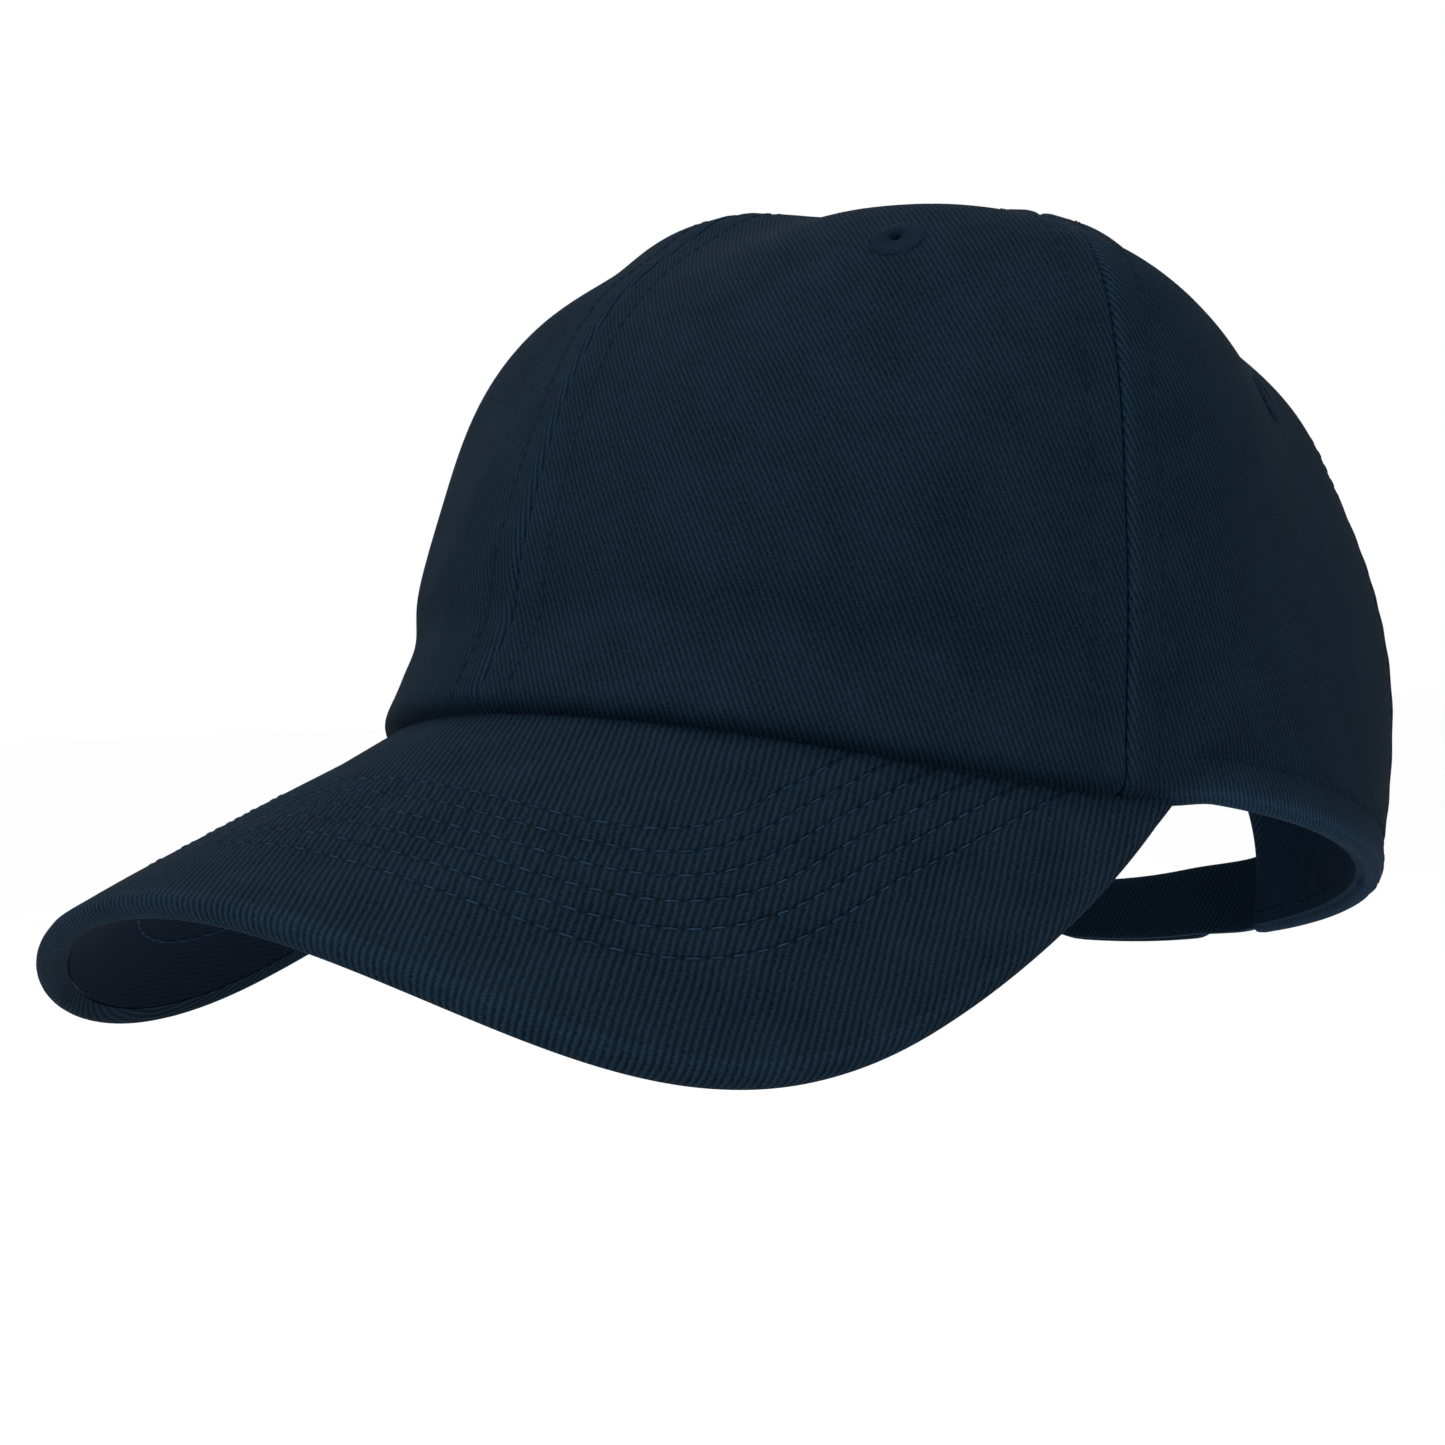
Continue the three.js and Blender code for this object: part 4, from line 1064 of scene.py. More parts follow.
    @staticmethod
    def crossing(values: Array, level: float) -> Optional[float]:
        """Returns the first fractional place at which values climb past a level."""
        over = np.nonzero(values > level)[0]
        if len(over) == 0 or over[0] == 0:
            return None
        k = over[0]
        return k - 1 + (level - values[k - 1]) / (values[k] - values[k - 1])

    @staticmethod
    def pick(line: Array, place: float) -> Array:
        """Returns the point at a fractional place along a line."""
        k = min(int(place), len(line) - 2)
        return lerp(line[k], line[k + 1], place - k)

    def tape(self, seam: Rule, low: float) -> Skins:
        """A tape sewn over a seam inside the crown.

        Args:
            seam: The seam's bearing at a height share.
            low: The lower end's height share.

        Returns:
            The tape's skins.
        """
        cols, rows = 13, 90
        up = lerp(low, self.tape_high, 1 - (1 - np.linspace(0, 1, rows)[:, None]) ** 1.6)
        up = np.broadcast_to(up, (rows, cols))
        half = self.form.ring_angle(seam(up), up, self.tape_width / 2)
        bearing = lerp(seam(up) - half, seam(up) + half, np.linspace(0, 1, cols))
        outer = self.form.worn(bearing, up, self.tape_depth)
        inner = self.form.worn(bearing, up, self.tape_depth + self.tape_thick)
        x, y = run_along(inner, 1), run_along(inner, 0)
        return Skins(outer, inner, np.stack([x - x[:, cols // 2 : cols // 2 + 1], y], -1))

    def build_panels(self, finishes: Finishes) -> None:
        """Builds the six panels and their topstitching."""
        form = self.form
        front, rear = form.front_seam, form.rear_seam
        minus = lambda rule: lambda up: -rule(up)
        back, far_back = lambda up: np.full_like(up, math.pi), lambda up: np.full_like(up, -math.pi)
        plan = (
            ("left_front_panel", form.middle_seam, front, 150, 0, EYELETS[0]),
            ("right_front_panel", minus(front), form.middle_seam, 150, 0, EYELETS[1]),
            ("left_side_panel", front, rear, 130, 0, EYELETS[2]),
            ("right_side_panel", minus(rear), minus(front), 130, 0, EYELETS[3]),
            ("left_rear_panel", rear, back, 130, 1, EYELETS[4]),
            ("right_rear_panel", far_back, minus(rear), 130, -1, EYELETS[5]),
        )
        for node, left, right, count, arch, eyelet in plan:
            made = self.panel(node, left, right, count, arch, eyelet)
            self.give(made, "cap", "navy_twill", finishes.of(CROWN_TWILL), node)
        made = self.mesh("crown_topstitching", *thread(self.stitches, self.stitch_pitch, self.thread_radius))
        self.give(made, "cap", "eyelet_thread", finishes.of(TOPSTITCH_THREAD))

    def build_inside(self, finishes: Finishes) -> None:
        """Builds the tapes over the seams and the half-moon's binding."""
        form = self.form
        over_binding = self.arch_top * (1 + (self.binding_width + 0.2) / self.arch_height())
        seams = {
            "front_middle_seam_tape": (form.middle_seam, 0.0),
            "front_left_seam_tape": (form.front_seam, self.tape_low),
            "front_right_seam_tape": (lambda up: -form.front_seam(up), self.tape_low),
            "side_left_seam_tape": (form.rear_seam, self.tape_low),
            "side_right_seam_tape": (lambda up: -form.rear_seam(up), self.tape_low),
            "rear_seam_tape": (lambda up: np.full_like(up, math.pi), over_binding),
        }
        for node, (seam, low) in seams.items():
            made = self.sheet(node + "_woven", self.tape(seam, low))
            self.give(made, "cap", "seam_tape", finishes.of(SEAM_TAPE), node)
        self.give(self.binding(), "cap", "seam_tape", finishes.of(SEAM_TAPE), "rear_arch_binding")

    def arch_height(self) -> float:
        """Returns the length up the back from the rim to the half-moon's top."""
        climb = np.linspace(0, self.arch_top, 80)
        return run_along(self.form.crown(np.full(80, math.pi), climb))[-1]

    def binding(self) -> bpy.types.Object:
        """Returns the tape that follows the half-moon's edge inside the rear panels."""
        form = self.form
        half, width = math.radians(self.arch_half_deg), self.binding_width
        foot = form.share_at(math.pi - half, 16.0)
        swing = np.linspace(-1, 1, 121) * math.acos(foot / self.arch_top)
        r = np.linspace(0, 1, 8)[:, None]
        tall = self.arch_height()
        wide = half * lerp(1.0, 1 + width / (form.rear_reach * half), r)
        bearing = math.pi + wide * np.sin(swing)
        up = (self.arch_top + width / tall * self.arch_top * r) * np.cos(swing)
        swell = 0.25 * np.sin(r * math.pi)
        outer = form.worn(bearing, up, 2.0 + 0 * r)
        inner = form.worn(bearing, up, 2.7 + swell)
        uv = np.stack([run_along(inner, 0), run_along(inner, 1)], -1)
        return self.sheet("rear_arch_binding_woven", Skins(outer, inner, uv))

    def build_eyelets(self, finishes: Finishes) -> None:
        """Builds the six eyelets: a ring of satin stitch round each hole, through the cloth."""
        for place in EYELETS:
            made = self.eyelet(place)
            self.give(made, "cap", "eyelet_thread", finishes.of(EYELET_THREAD), place.node)

    def eyelet(self, place: EyeletPlace) -> bpy.types.Object:
        """Returns a ring whose section is a flat loop, ridged by the threads that run out from its hole."""
        form = self.form
        bearing, up = np.array(math.radians(place.bearing_deg)), np.array(place.up)
        section = np.array(
            [(0.8, -0.6), (0.95, 0.0), (1.4, 0.42), (2.4, 0.62), (3.6, 0.58), (4.5, 0.34), (4.9, -0.05)]
            + [(4.7, -0.35), (3.9, -0.2), (2.6, -0.3), (2.1, -0.8), (2.1, -1.2), (3.6, -1.25), (4.0, -1.5)]
            + [(3.6, -1.95), (2.4, -2.05), (1.2, -1.8), (0.8, -1.2)]
        )
        threads, per = 30, 6
        turn = np.arange(threads * per) / (threads * per) * 2 * math.pi
        ridge = 0.16 * np.abs(np.sin(turn * threads / 2)) ** 0.6
        rng = np.random.default_rng(int(abs(place.bearing_deg)) + 3)
        ragged = 0.18 * np.repeat(rng.normal(size=threads), per)
        centre = section.mean(0)
        out = unit(section - centre)
        radius = section[:, 0][:, None] + out[:, 0][:, None] * ridge
        radius = radius + ragged * smooth(4.3, 4.8, section[:, 0])[:, None]
        lift = section[:, 1][:, None] + out[:, 1][:, None] * ridge
        sit, n = form.worn(bearing, up), form.normal(bearing, up)
        e1 = unit(form.crown(bearing + 1e-3, up) - form.crown(bearing - 1e-3, up))
        e2 = np.cross(n, e1)
        flat = np.cos(turn)[None, :, None] * e1 + np.sin(turn)[None, :, None] * e2
        follow = self.sit_on(place, radius, turn)
        points = sit + radius[..., None] * flat + (lift + follow)[..., None] * n
        rows, cols = radius.shape
        index = np.arange(rows * cols).reshape(rows, cols)
        right, above = np.roll(index, -1, 1), np.roll(index, -1, 0)
        faces = np.stack([index, right, np.roll(above, -1, 1), above], -1).reshape(-1, 4)[:, ::-1]
        uv = np.stack([np.broadcast_to(turn * threads / (2 * math.pi) * 0.42, radius.shape), radius], -1)
        layers = {"Cloth": uv, "Wear": uv * 0}
        return self.mesh(place.node + "_satin_stitch", points.reshape(-1, 3), faces, layers, 80)

    def sit_on(self, place: EyeletPlace, radius: Array, turn: Array) -> Array:
        """Returns how far the curved cloth falls away under each point of a ring laid flat on it."""
        form = self.form
        b0, u0 = math.radians(place.bearing_deg), place.up
        at = form.crown(np.array(b0), np.array(u0))
        across = np.linalg.norm(form.crown(np.array(b0 + 1e-3), np.array(u0)) - at)
        climb = np.linalg.norm(form.crown(np.array(b0), np.array(u0 + 1e-3)) - at)
        db = radius * np.cos(turn) / across * 1e-3
        du = radius * np.sin(turn) / climb * 1e-3
        here = form.worn(b0 + db, u0 + du)
        middle, n = form.worn(np.array(b0), np.array(u0)), form.normal(np.array(b0), np.array(u0))
        return ((here - middle) * n).sum(-1)


# ---------------------------------------------------------------- sweatband, label and button


@dataclass
class HeadFit(Piece):
    """The sweatband against the head, with its care label."""

    form: CapForm
    depth: float = 2.8
    thick: float = 1.2
    tall: float = 32.0
    sit: float = 0.8
    label_bearing_deg: float = -112.0
    label_size: tuple = (26.0, 24.0)

    def build(self, finishes: Finishes) -> None:
        """Builds the band, its two rows of stitching and the label."""
        form = self.form
        corner = math.pi - math.radians(21.5) - 0.008
        bearing = np.linspace(-corner, corner, 420)
        foot = np.array([form.share_at(b, self.sit) for b in bearing[::12]])
        top = np.array([form.share_at(b, self.tall) for b in bearing[::12]])
        foot, top = np.interp(bearing, bearing[::12], foot), np.interp(bearing, bearing[::12], top)
        r = np.linspace(0, 1, 26)[:, None]
        up = lerp(foot, top, r)
        around = np.broadcast_to(bearing, up.shape)
        crumple = 0.35 * np.sin(around * 61 + np.sin(around * 17) * 2 + r * 2.5) * np.sin(r * math.pi) ** 0.7
        rounded = 0.5 * self.thick * (1 - np.sqrt(np.clip(1 - np.clip((r - 0.93) / 0.07, 0, 1) ** 2, 0, 1)))
        outer = form.worn(around, up, self.depth + rounded)
        inner = form.worn(around, up, self.depth + self.thick - rounded + crumple * 0.6 + 0.2)
        uv = np.stack([run_along(inner, 1), run_along(inner, 0)], -1)
        made = self.sheet("sweatband_cotton_band", Skins(outer, inner, uv))
        self.give(made, "cap", "sweatband_cotton", finishes.of(SWEATBAND_COTTON), "sweatband")
        lines = []
        for row in (2, 22):
            line = inner[row]
            lines.append((line, -form.normal(around[row], up[row])))
        made = self.mesh("sweatband_stitching", *thread(lines, 3.2, 0.22))
        self.give(made, "cap", "eyelet_thread", finishes.of(TOPSTITCH_THREAD))
        self.label(finishes)

    def label(self, finishes: Finishes) -> None:
        """Builds the blank label, sewn along its top edge and free below."""
        form = self.form
        middle = math.radians(self.label_bearing_deg)
        width, tall = self.label_size
        half = float(form.ring_angle(np.array(middle), np.array(0.1), width / 2))
        cols, rows = 40, 36
        bearing = np.linspace(middle - half, middle + half, cols)
        top = self.tall - 2.0
        low = form.share_at(middle, top - tall)
        high = form.share_at(middle, top)
        r = np.linspace(0, 1, rows)[:, None]
        up = np.broadcast_to(lerp(low, high, r), (rows, cols))
        around = np.broadcast_to(bearing, up.shape)
        gap = self.depth + self.thick + 0.75
        curl = 0.5 * (1 - r) ** 2
        outer = form.worn(around, up, gap + curl)
        inner = form.worn(around, up, gap + curl + 0.35)
        uv = np.stack([run_along(inner, 1), run_along(inner, 0)], -1)
        made = self.sheet("care_label_ribbon", Skins(outer, inner, uv))
        self.give(made, "care_label", "label_satin", finishes.of(LABEL_SATIN), "care_label")


@dataclass
class Button(Piece):
    """The covered button on top of the crown."""

    form: CapForm
    radius: float = 8.2
    tall: float = 4.6
    cover: float = 0.7
    gap: float = 0.3

    def build(self, frame: dict, finishes: Finishes) -> None:
        """Builds the cloth cover, gathered under the button's edge, and dresses the metal inside."""
        steps = 26
        a = np.linspace(0, math.pi / 2, steps)
        outer = np.stack([self.radius * np.cos(a) ** 0.85, self.gap + self.tall * np.sin(a)], -1)
        small, low = self.radius - self.cover, self.tall - self.cover
        inner = np.stack([small * np.cos(a) ** 0.85, self.gap + low * np.sin(a)], -1)[::-1]
        profile = np.concatenate([inner, outer])
        turn_count = 120
        turn = np.arange(turn_count) / turn_count * 2 * math.pi
        pleats = 0.14 * np.sin(turn * 22 + np.sin(turn * 5))
        edge = smooth(0.72, 1.0, profile[:, 0] / self.radius)
        points, uv = [], []
        for (r, z), e in zip(profile[1:-1], edge[1:-1]):
            wide = r + pleats * e
            points.append(np.stack([wide * np.cos(turn), wide * np.sin(turn), np.full(turn_count, z)], -1))
            uv.append(points[-1][:, :2])
        body = np.concatenate(points)
        poles = np.array([[0, 0, profile[0, 1]], [0, 0, profile[-1, 1]]])
        rows = len(profile) - 2
        index = np.arange(rows * turn_count).reshape(rows, turn_count)
        n = np.roll(index, -1, 1)
        quads = np.stack([index[:-1], n[:-1], n[1:], index[1:]], -1).reshape(-1, 4).tolist()
        first, last = rows * turn_count, rows * turn_count + 1
        fans = [(first, int(n[0, k]), int(index[0, k])) for k in range(turn_count)]
        fans += [(last, int(index[-1, k]), int(n[-1, k])) for k in range(turn_count)]
        every = np.concatenate([body, poles]) + np.array([0, -self.form.apex_backset, self.form.height])
        flat = np.concatenate([np.concatenate(uv), np.zeros((2, 2))])
        layers = {"Cloth": flat, "Wear": flat * 0 + 0.2}
        made = self.mesh("button_cover_cloth", every, quads + fans, layers, 60)
        self.give(made, "cap", "navy_twill", finishes.of(CROWN_TWILL), "button_cover")
        for node in ("button_shell", "button_rivet"):
            dress_node(frame, node, finishes.of(PLATED_STEEL))


def dress_node(frame: dict, node: str, material: bpy.types.Material) -> None:
    """Gives a kept CAD node its finish."""
    data = frame["nodes"][node].data
    data.materials.clear()
    data.materials.append(material)
    LOG.info("%s: kept, finished in %s", node, material.name)


# ---------------------------------------------------------------- visor


@dataclass
class Visor(Piece):
    """The bent visor: top cover rolled round the board's edge, bottom cover and six rows of stitching."""

    form: CapForm
    length: float = 71.97
    half_spread: float = 105.84
    widest_back: float = 7.51
    nose: float = 0.707
    cheek: float = 0.76
    cover: float = 0.8
    thick: float = 4.2
    lip: float = 2.2
    tip: float = 0.993
    seam_gap: float = 0.45
    row_power: float = 3.2
    row_width: float = 58.8
    row_width_step: float = 4.84
    row_front: float = 31.2
    row_front_step: float = 5.24
    row_back: float = -5.0
    row_flare: float = 0.1
    rows_count: int = 6
    stitch_pitch: float = 3.7
    thread_radius: float = 0.22

    def outline(self) -> Array:
        """Returns the right half of the flat visor's edge, from its nose to the rim, at even steps."""
        t = np.linspace(0, 1, 1500)[:, None]
        end = self.form.seam_on_visor(np.array(math.radians(self.form.visor_end_deg)))
        wide, back, front = self.half_spread, -self.widest_back, self.length
        curves = (
            ((0, front), (wide * self.nose, front), (wide, lerp(back, front, self.cheek)), (wide, back)),
            (
                (wide, back),
                (wide, lerp(back, end[1], 0.4)),
                (lerp(wide, end[0], 0.6), lerp(back, end[1], 0.8)),
                end,
            ),
        )
        line = []
        for corners in curves:
            p0, p1, p2, p3 = (np.array(p, float) for p in corners)
            line.append((1 - t) ** 3 * p0 + 3 * (1 - t) ** 2 * t * p1 + 3 * (1 - t) * t * t * p2 + t**3 * p3)
        line = np.concatenate([line[0], line[1][1:]])
        return resample(line, np.linspace(0, run_along(line)[-1], 2001))

    def edge(self, a: Array) -> tuple:
        """Returns edge points and outward directions on the flat visor; a runs from -1 to 1 across it."""
        line = self.outline()
        place = np.abs(a) * 2000
        pick = lambda at: np.stack([np.interp(at, np.arange(2001), line[:, k]) for k in (0, 1)], -1)
        along = unit(pick(np.minimum(place + 2, 2000)) - pick(np.maximum(place - 2, 0)))
        mirror = np.where(a < 0, -1.0, 1.0)
        point = pick(place) * np.stack([mirror, np.ones_like(mirror)], -1)
        return point, np.stack([-along[..., 1] * mirror, along[..., 0]], -1)

    def lay(self, tip: float, count: int, rows: Array, set_in: float) -> Array:
        """Returns places on the flat visor: columns from left tip to right, rows from seam to edge."""
        a = np.linspace(tip, -tip, count)
        seam = self.form.seam_on_visor(a * math.radians(self.form.visor_end_deg))
        seam[:, 1] += self.seam_gap
        point, outward = self.edge(a)
        return lerp(seam, point - outward * set_in, rows[:, None, None])

    def row_field(self, s: Array, v: Array) -> Array:
        """Returns the stitch row number, whole on a row, and the length along the rows at flat places."""
        high = np.maximum(v - self.row_back, 0.0)
        low_k, high_k = np.full(s.shape, -11.0), np.full(s.shape, 14.0)
        for _ in range(34):
            k = (low_k + high_k) / 2
            wide = self.row_width + self.row_width_step * k
            tall = np.maximum(self.row_front + self.row_front_step * k, 0.5)
            span = np.abs(s) - self.row_flare * np.maximum(self.row_back - v, 0.0)
            inside = (np.abs(span) / wide) ** self.row_power + (high / tall) ** self.row_power < 1
            high_k, low_k = np.where(inside, k, high_k), np.where(inside, low_k, k)
        line = self.row_line(2.5, 900)
        walked = run_along(line)
        middle = walked[-1] / 2
        half = np.arctan2((high / 42.0) ** 1.6, (np.maximum(s, 0.5) / 71.0) ** 1.6)
        other = np.arctan2((high / 42.0) ** 1.6, (np.maximum(-s, 0.5) / 71.0) ** 1.6)
        turn = np.where(s >= 0, half, math.pi - other)
        ahead = np.maximum(line[:, 1] - self.row_back, 0)
        angle = np.arctan2((ahead / 42.4) ** 1.6, (np.abs(line[:, 0]) / 70.9) ** 1.6)
        angle = np.where(line[:, 0] >= 0, angle, math.pi - angle)
        on_bow = line[:, 1] > self.row_back
        along = np.interp(turn, angle[on_bow], walked[on_bow]) - middle
        tail = np.maximum(self.row_back - v, 0.0)
        return np.stack([k, along + np.where(s >= 0, -tail, tail)], -1)

    def row_line(self, k: float, count: int = 700) -> Array:
        """Flat places along one stitch row.

        The row is a wide bow, the curve on which (across / half width) and (forward / depth), each to the
        same power, add up to one. Behind the bow each end runs back to the crown seam, flaring a little.

        Args:
            k: Row number, from 0 nearest the crown.
            count: Number of places.

        Returns:
            Places from the wearer's left end to the right end.
        """
        wide = self.row_width + self.row_width_step * k
        tall = self.row_front + self.row_front_step * k
        turn = np.linspace(0, math.pi, count)
        power = 2 / self.row_power
        s = wide * np.sign(np.cos(turn)) * np.abs(np.cos(turn)) ** power
        v = self.row_back + tall * np.sin(turn) ** power
        seam = self.form.seam_on_visor(np.linspace(0, math.radians(self.form.visor_end_deg), 400))
        back = np.linspace(self.row_back, -70, 200)[1:]
        out = wide + self.row_flare * (self.row_back - back)
        free = back > np.interp(out, seam[:, 0], seam[:, 1]) + 4.5
        tail = np.stack([out[free], back[free]], -1)
        bow = np.stack([s, v], -1)
        return np.concatenate([tail[::-1], bow, tail * np.array([-1.0, 1.0])])

    def soft(self, s: Array, v: Array) -> Array:
        """Returns the small unevenness of the cloth over the board."""
        broad = 0.12 * np.sin(s / 9.0 + np.sin(v / 13.0) * 1.5) * np.sin(v / 11.0 + 1.0)
        return broad + 0.06 * np.sin(s / 3.1 + v / 4.7)

    def build(self, frame: dict, finishes: Finishes) -> None:
        """Builds both covers and the stitching, and dresses the board."""
        form, r = self.form, self.thick / 2
        flat_rows, turn_rows, count = 110, 14, 330
        a = np.linspace(self.tip, -self.tip, count)
        point, outward = self.edge(a)
        seam = self.form.seam_on_visor(a * math.radians(form.visor_end_deg))
        thin = np.minimum(1.0, 0.45 * np.linalg.norm(point - seam, axis=-1) / r)
        inner_lay = self.lay(self.tip, count, np.linspace(0, 1, flat_rows), (r * thin)[:, None])
        turn = np.linspace(0, math.pi, turn_rows)[1:]
        skins = []
        for side in (0, 1):
            radius = r - side * self.cover
            deep = side * self.cover * thin - self.soft(*np.moveaxis(inner_lay, -1, 0)) * thin
            top = form.visor(inner_lay[..., 0], inner_lay[..., 1], deep)
            reach = np.concatenate([np.sin(turn) * radius, [-self.lip / 2, -self.lip]])[:, None] * thin
            roll = inner_lay[-1] + outward * reach[..., None]
            depth = (r - radius * np.concatenate([np.cos(turn), [-1.0, -1.0]]))[:, None] * thin
            turned = form.visor(roll[..., 0], roll[..., 1], depth)
            skins.append(np.concatenate([top, turned]))
        around = np.concatenate([turn * r, [math.pi * r + self.lip / 2, math.pi * r + self.lip]])
        roll = inner_lay[-1] + outward * around[:, None, None]
        uv = np.concatenate([inner_lay, roll])
        rows_uv = self.row_field(uv[..., 0], uv[..., 1])
        rows_uv[flat_rows:] = np.array([9.0, 0.0])
        wear = np.zeros(uv.shape[:2])
        wear[flat_rows - 3 : flat_rows + 10] = 0.22
        made = self.sheet("visor_top_cloth", Skins(skins[0], skins[1], uv, None, wear, rows_uv))
        self.give(made, "cap", "navy_twill", finishes.of(VISOR_TWILL), "visor_top_cover")
        under = self.lay(0.94, 220, np.linspace(0, 1, 60), r + self.lip + 0.3)
        s, v = under[..., 0], under[..., 1]
        outer, inner = form.visor(s, v, self.thick - self.cover), form.visor(s, v, self.thick)
        made = self.sheet("visor_under_cloth", Skins(outer, inner, under))
        # The under cover's twill is darker than the top's as painted shade under the visor.
        self.give(made, "cap", "navy_twill", finishes.of(SHADED_UNDER_TWILL), "visor_bottom_cover")
        self.stitching(finishes)
        dress_node(frame, "visor_board", finishes.of(MOULDED_BOARD))

    def stitching(self, finishes: Finishes) -> None:
        """Builds the six rows of stitches on the top and their thread on the underside."""
        form, lines = self.form, []
        for k in range(self.rows_count):
            line = self.row_line(float(k))
            s, v = line[:, 0], line[:, 1]
            lift = -self.soft(s, v) + 0.16
            top = form.visor(s, v, lift)
            normal = unit(form.visor(s, v, lift - 1.0) - top)
            lines.append((top, normal))
            below = form.visor(s, v, self.thick)
            lines.append((below, -normal))
        made = self.mesh("visor_stitching", *thread(lines, self.stitch_pitch, self.thread_radius))
        self.give(made, "cap", "eyelet_thread", finishes.of(SEWING_THREAD))


# ---------------------------------------------------------------- strap


@dataclass
class Strap(Piece):
    """The hook-and-loop strap across the half-moon: two tabs that bend out of the corner seams."""

    form: CapForm
    width: float = 15.0
    sit: float = 0.6
    tab: float = 1.2
    depth: float = 1.2
    gap: float = 0.3
    patch: float = 0.7
    margin: float = 1.5
    root: float = 3.4
    arch_half_deg: float = 21.5
    outer_end_deg: float = 166.0
    inner_end_deg: float = 197.0
    drift_deg: float = 9.0
    hook_start_deg: float = 188.0
    round: float = 6.5
    sewn_in: float = 9.0
    droop_mm: tuple = (2.2, 4.6)

    def strip(
        self, start: float, end: float, depth: Rule, thick: float, margin: float, sewn: float, size: tuple
    ) -> Skins:
        """A strip along the strap's path with one rounded end.

        Args:
            start: Bearing of the end that is sewn or square.
            end: Bearing of the rounded end.
            depth: Depth of the outer skin at a bearing.
            thick: Thickness.
            margin: Set in from the strap's long edges.
            sewn: Length added before start, which lies deeper, inside the corner seam.
            size: Columns and rows.

        Returns:
            The strip's skins.
        """
        form = self.form
        low = form.share_at(math.pi, self.sit + margin)
        high = form.share_at(math.pi, self.sit + self.width - margin)
        cols, rows = size
        way = 1.0 if end > start else -1.0
        length = abs(end - start) * form.rear_reach
        along = np.linspace(0, length, cols)
        if sewn:
            along = np.concatenate([np.linspace(-sewn, 0, 12)[:-1], along])
        to_tip = np.clip((along - (length - self.round)) / self.round, 0, 1)
        narrow = lerp(0.12, 1.0, np.sqrt(np.clip(1 - to_tip**2.2, 0, 1)))
        bearing = start + way * along / form.rear_reach
        r = np.linspace(0, 1, rows)[:, None]
        up = (low + high) / 2 + (lerp(low, high, r) - (low + high) / 2) * narrow
        around = np.broadcast_to(bearing, up.shape)
        tucked = 1.4 * smooth(0, max(sewn, 1e-3), -np.minimum(along, 0))
        sit = depth(bearing) + tucked
        puffed = 0.12 * np.sin(r * math.pi)
        outer, inner = form.worn(around, up, sit - puffed), form.worn(around, up, sit + thick)
        fall = self.droop(around) * lerp(self.droop_mm[0], self.droop_mm[1], r)
        outer[..., 2] -= fall
        inner[..., 2] -= fall
        if way < 0:
            outer, inner, up = outer[:, ::-1], inner[:, ::-1], up[:, ::-1]
        uv = np.stack([run_along(outer, 1), run_along(outer, 0)], -1)
        edge = np.minimum(r, 1 - r) * self.width
        wear = np.broadcast_to(0.5 * np.exp(-edge / 1.0), up.shape)
        return Skins(outer, inner, uv, None, wear)

    @staticmethod
    def droop(bearing: Array) -> Array:
        """Returns the share of its greatest droop that the strap has at a bearing between its roots."""
        place = np.degrees(bearing)
        return np.clip((place - 159.5) / 30.0, 0, 1) * (1 - smooth(191, 199, place))

    def build(self, finishes: Finishes) -> None:
        """Builds both tabs, their stitching and their patches of hooks and loops."""
        form = self.form
        half, root = math.radians(self.arch_half_deg), self.root / form.rear_reach
        left, right = math.pi - half + root, math.pi + half - root
        hook = self.depth + self.tab + self.gap
        loop = hook + self.patch + self.gap
        under = loop + self.patch + self.gap
        drift = math.radians(self.drift_deg)
        inner_depth = lambda b: lerp(self.depth, under, smooth(0, 1, (b - left) / drift))
        flat = lambda d: lambda b: np.full_like(b, d)
        inset = self.margin / form.rear_reach
        patch_start = left + drift + inset
        end_out, end_in = math.radians(self.outer_end_deg), math.radians(self.inner_end_deg)
        hook_start = math.radians(self.hook_start_deg)
        tabs = (
            ("outer_tab", right, -1.0, end_out, flat(self.depth)),
            ("inner_tab", left, 1.0, end_in, inner_depth),
        )
        for node, start, way, end, depth in tabs:
            skins = self.strip(start, end, depth, self.tab, 0.0, self.sewn_in, (90, 24))
            made = self.sheet(node + "_cloth", skins)
            self.bend(made, node, start, way, "navy_twill", finishes.of(CROWN_TWILL))
            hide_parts(node)
            made = self.mesh(node + "_stitching", *thread(self.edge_lines(skins), 2.6, 0.22))
            self.bend(made, node, start, way, "eyelet_thread", finishes.of(TOPSTITCH_THREAD))
        patches = (
            ("hook_patch", "outer_tab", hook_start, patch_start, hook, "hook_tape", HOOK_TAPE),
            ("loop_patch", "inner_tab", patch_start, end_in - inset, loop, "loop_tape", LOOP_TAPE),
        )
        for node, body, start, end, depth, slot, cloth in patches:
            skins = self.strip(start, end, flat(depth), self.patch, self.margin, 0.0, (70, 20))
            made = self.sheet(node + "_tape", skins)
            self.give(made, body, slot, finishes.of(cloth), node)

    def edge_lines(self, skins: Skins) -> list:
        """Returns lines of stitching two millimetres inside the strip's long edges, on its outer face."""
        lines = []
        for row in (3, skins.outer.shape[0] - 4):
            line = skins.outer[row]
            lines.append((line, unit(line - skins.inner[row])))
        return lines

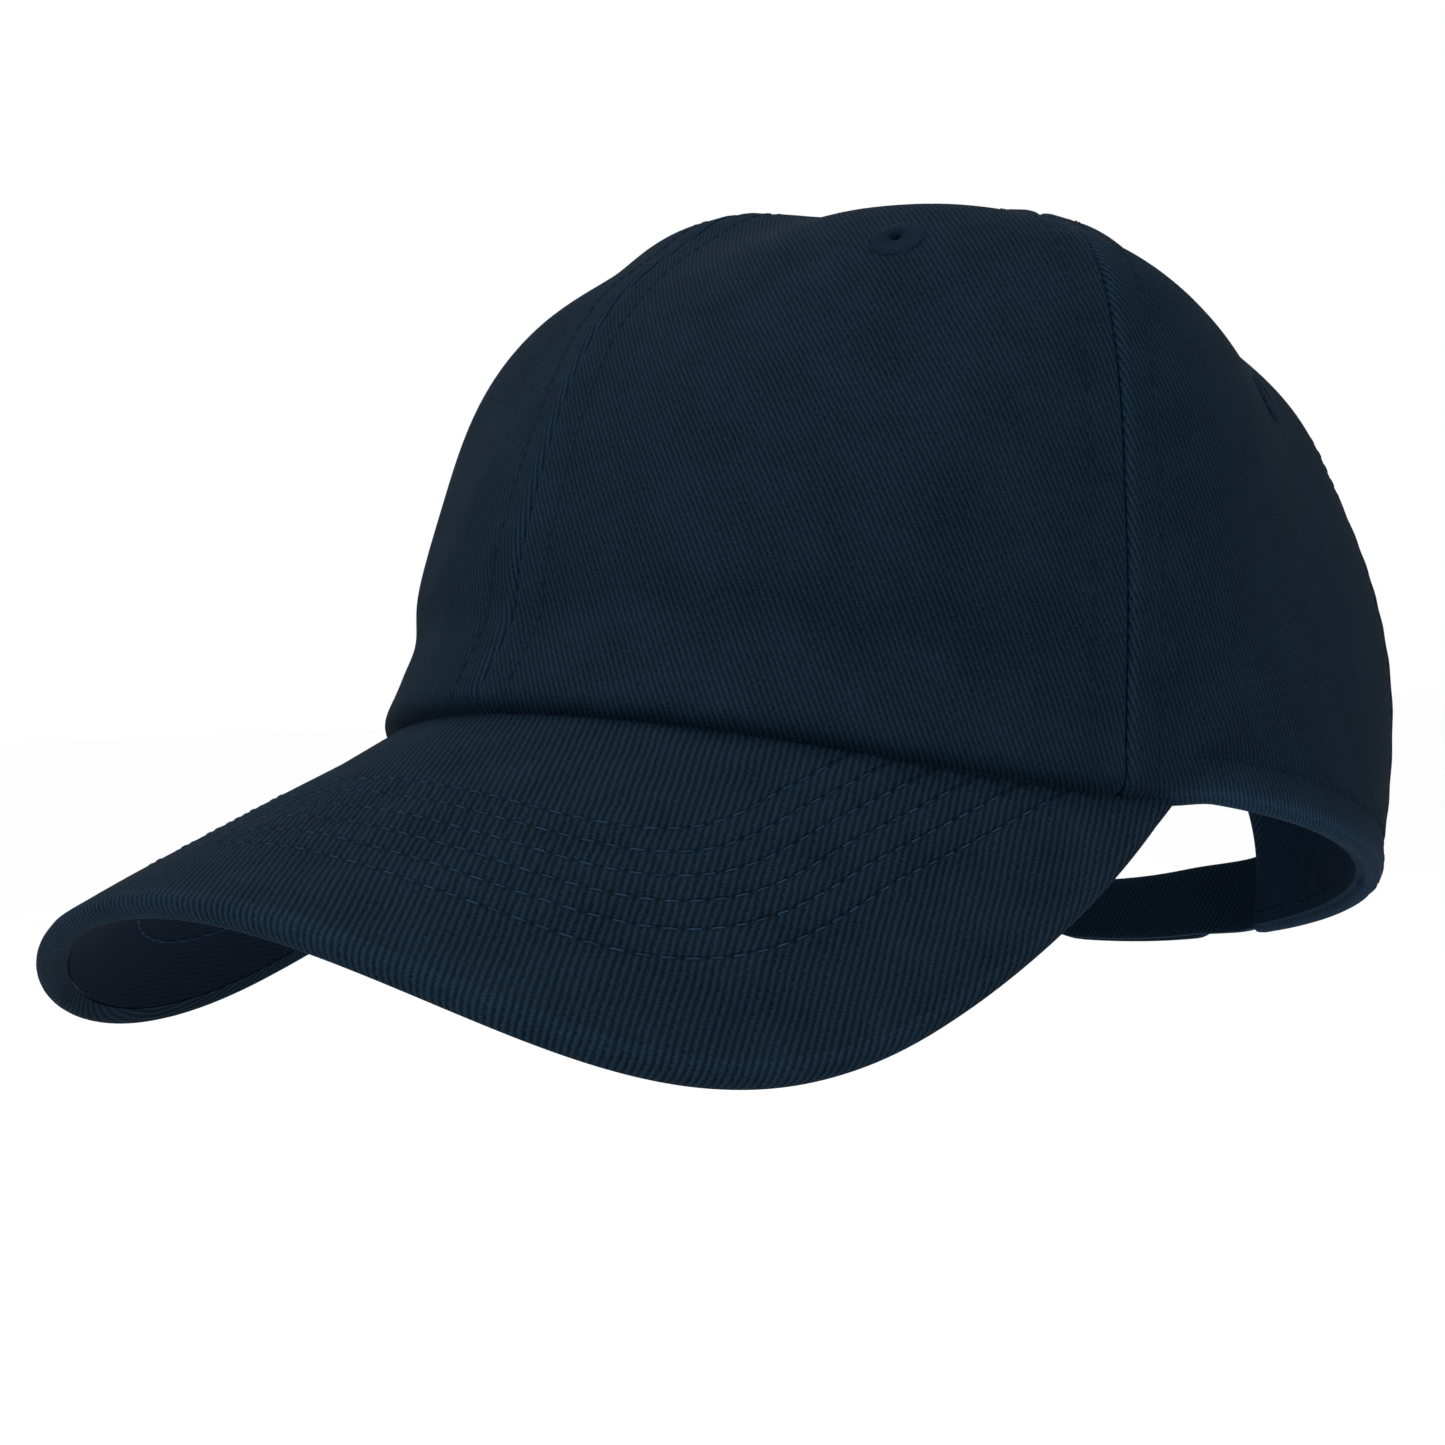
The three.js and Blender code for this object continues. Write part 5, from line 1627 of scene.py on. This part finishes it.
    def bend(
        self,
        made: bpy.types.Object,
        node: str,
        start: float,
        way: float,
        slot: str,
        finish: bpy.types.Material,
    ) -> None:
        """Gives a tab its finish and bakes its transform into its mesh."""
        form = self.form
        up = form.share_at(math.pi, self.sit + self.width / 2)
        turn = 1.2 / form.rear_reach
        ends = np.array([start - way * turn, start + way * turn])
        a, b = form.to_frame(form.worn(ends, np.full(2, up), self.depth + 0.6))
        made.data.materials.append(finish)
        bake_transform(made)
        LOG.info("%s: %d faces, bends from the seam", made.name, len(made.data.polygons))


# ---------------------------------------------------------------- studio


@dataclass(frozen=True)
class Studio:
    """Camera, soft lights and a pale floor."""

    camera_mm: tuple = (346.72, -380.42, 27.75)
    azimuth_deg: float = 45.06
    elevation_deg: float = 0.54
    roll_deg: float = -1.979
    lens: float = 68.25
    floor_drop: float = 0.25

    def camera(self) -> None:
        """Makes the camera and puts it in the scene."""
        az, el, roll = (math.radians(a) for a in (self.azimuth_deg, self.elevation_deg, self.roll_deg))
        back = np.array([math.sin(az) * math.cos(el), -math.cos(az) * math.cos(el), math.sin(el)])
        right = np.array([math.cos(az), math.sin(az), 0.0])
        up = np.cross(back, right)
        across = math.cos(roll) * right + math.sin(roll) * up
        upward = -math.sin(roll) * right + math.cos(roll) * up
        data = bpy.data.cameras.new("camera")
        data.lens, data.sensor_width, data.clip_start, data.clip_end = self.lens, 36.0, 0.01, 100.0
        made = bpy.data.objects.new("camera", data)
        place = np.eye(4)
        place[:3, 0], place[:3, 1], place[:3, 2] = across, upward, back
        place[:3, 3] = np.array(self.camera_mm) * MM
        made.matrix_world = Matrix(place.tolist())
        bpy.context.scene.collection.objects.link(made)
        bpy.context.scene.camera = made

    def lamp(self, name: str, place: tuple, size: float, power: float, tint: str = "#ffffff") -> None:
        """Adds one square soft box that looks at the cap."""
        data = bpy.data.lights.new(name, "AREA")
        data.size, data.energy, data.color = size, power, to_linear(tint)[:3]
        made = bpy.data.objects.new(name, data)
        at = np.array(place)
        z = unit(at - np.array([0.0, 0.0, 0.04]))
        x = unit(np.cross(np.array([0.0, 0.0, 1.0]), z))
        turn = np.eye(4)
        turn[:3, 0], turn[:3, 1], turn[:3, 2], turn[:3, 3] = x, np.cross(z, x), z, at
        made.matrix_world = Matrix(turn.tolist())
        bpy.context.scene.collection.objects.link(made)

    def build(self) -> None:
        """Builds the camera, lights, pale surround and floor."""
        self.camera()
        world = bpy.data.worlds.new("pale_room")
        bpy.context.scene.world = world
        world.use_nodes = True
        backdrop = world.node_tree.nodes["Background"]
        backdrop.inputs["Color"].default_value = (1.0, 1.0, 1.0, 1.0)
        backdrop.inputs["Strength"].default_value = 1.0
        self.lamp("key_soft_box", (0.15, -0.95, 0.75), 0.6, 7.5)
        self.lamp("top_soft_box", (0.2, -0.1, 1.1), 0.8, 6.0)
        bpy.context.scene.view_settings.view_transform = "Standard"
        data = bpy.data.meshes.new("floor")
        w, z = 30.0, -self.floor_drop
        data.from_pydata([(-w, -w, z), (w, -w, z), (w, w, z), (-w, w, z)], [], [(0, 1, 2, 3)])
        floor = bpy.data.objects.new("floor", data)
        bpy.context.scene.collection.objects.link(floor)
        material = bpy.data.materials.new("pale_floor")
        material.use_nodes = True
        tree = material.node_tree
        tree.nodes.clear()
        place = add_node(tree, "ShaderNodeTexCoord", out="Object")
        grain = add_node(tree, "ShaderNodeTexNoise", {"Vector": place, "Scale": 3.0})
        tone = Cloth.mix(tree, grain, to_linear("#fbfbfb"), to_linear("#ffffff"))
        feeds = {"Base Color": tone, "Roughness": 0.9, "Specular IOR Level": 0.0}
        add_node_output(tree, add_node(tree, "ShaderNodeBsdfPrincipled", feeds))
        data.materials.append(material)


def main() -> None:
    """Loads the frame, sets up the studio and builds every part of the cap in order."""
    logging.basicConfig(level=logging.INFO, format="%(name)s: %(message)s")
    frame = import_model()
    form = CapForm()
    finishes = Finishes()
    Studio().build()
    crown = Crown(form)
    crown.build_panels(finishes)
    crown.build_inside(finishes)
    crown.build_eyelets(finishes)
    HeadFit(form).build(finishes)
    Button(form).build(frame, finishes)
    Visor(form).build(frame, finishes)
    Strap(form).build(finishes)


if __name__ == "__main__":
    main()
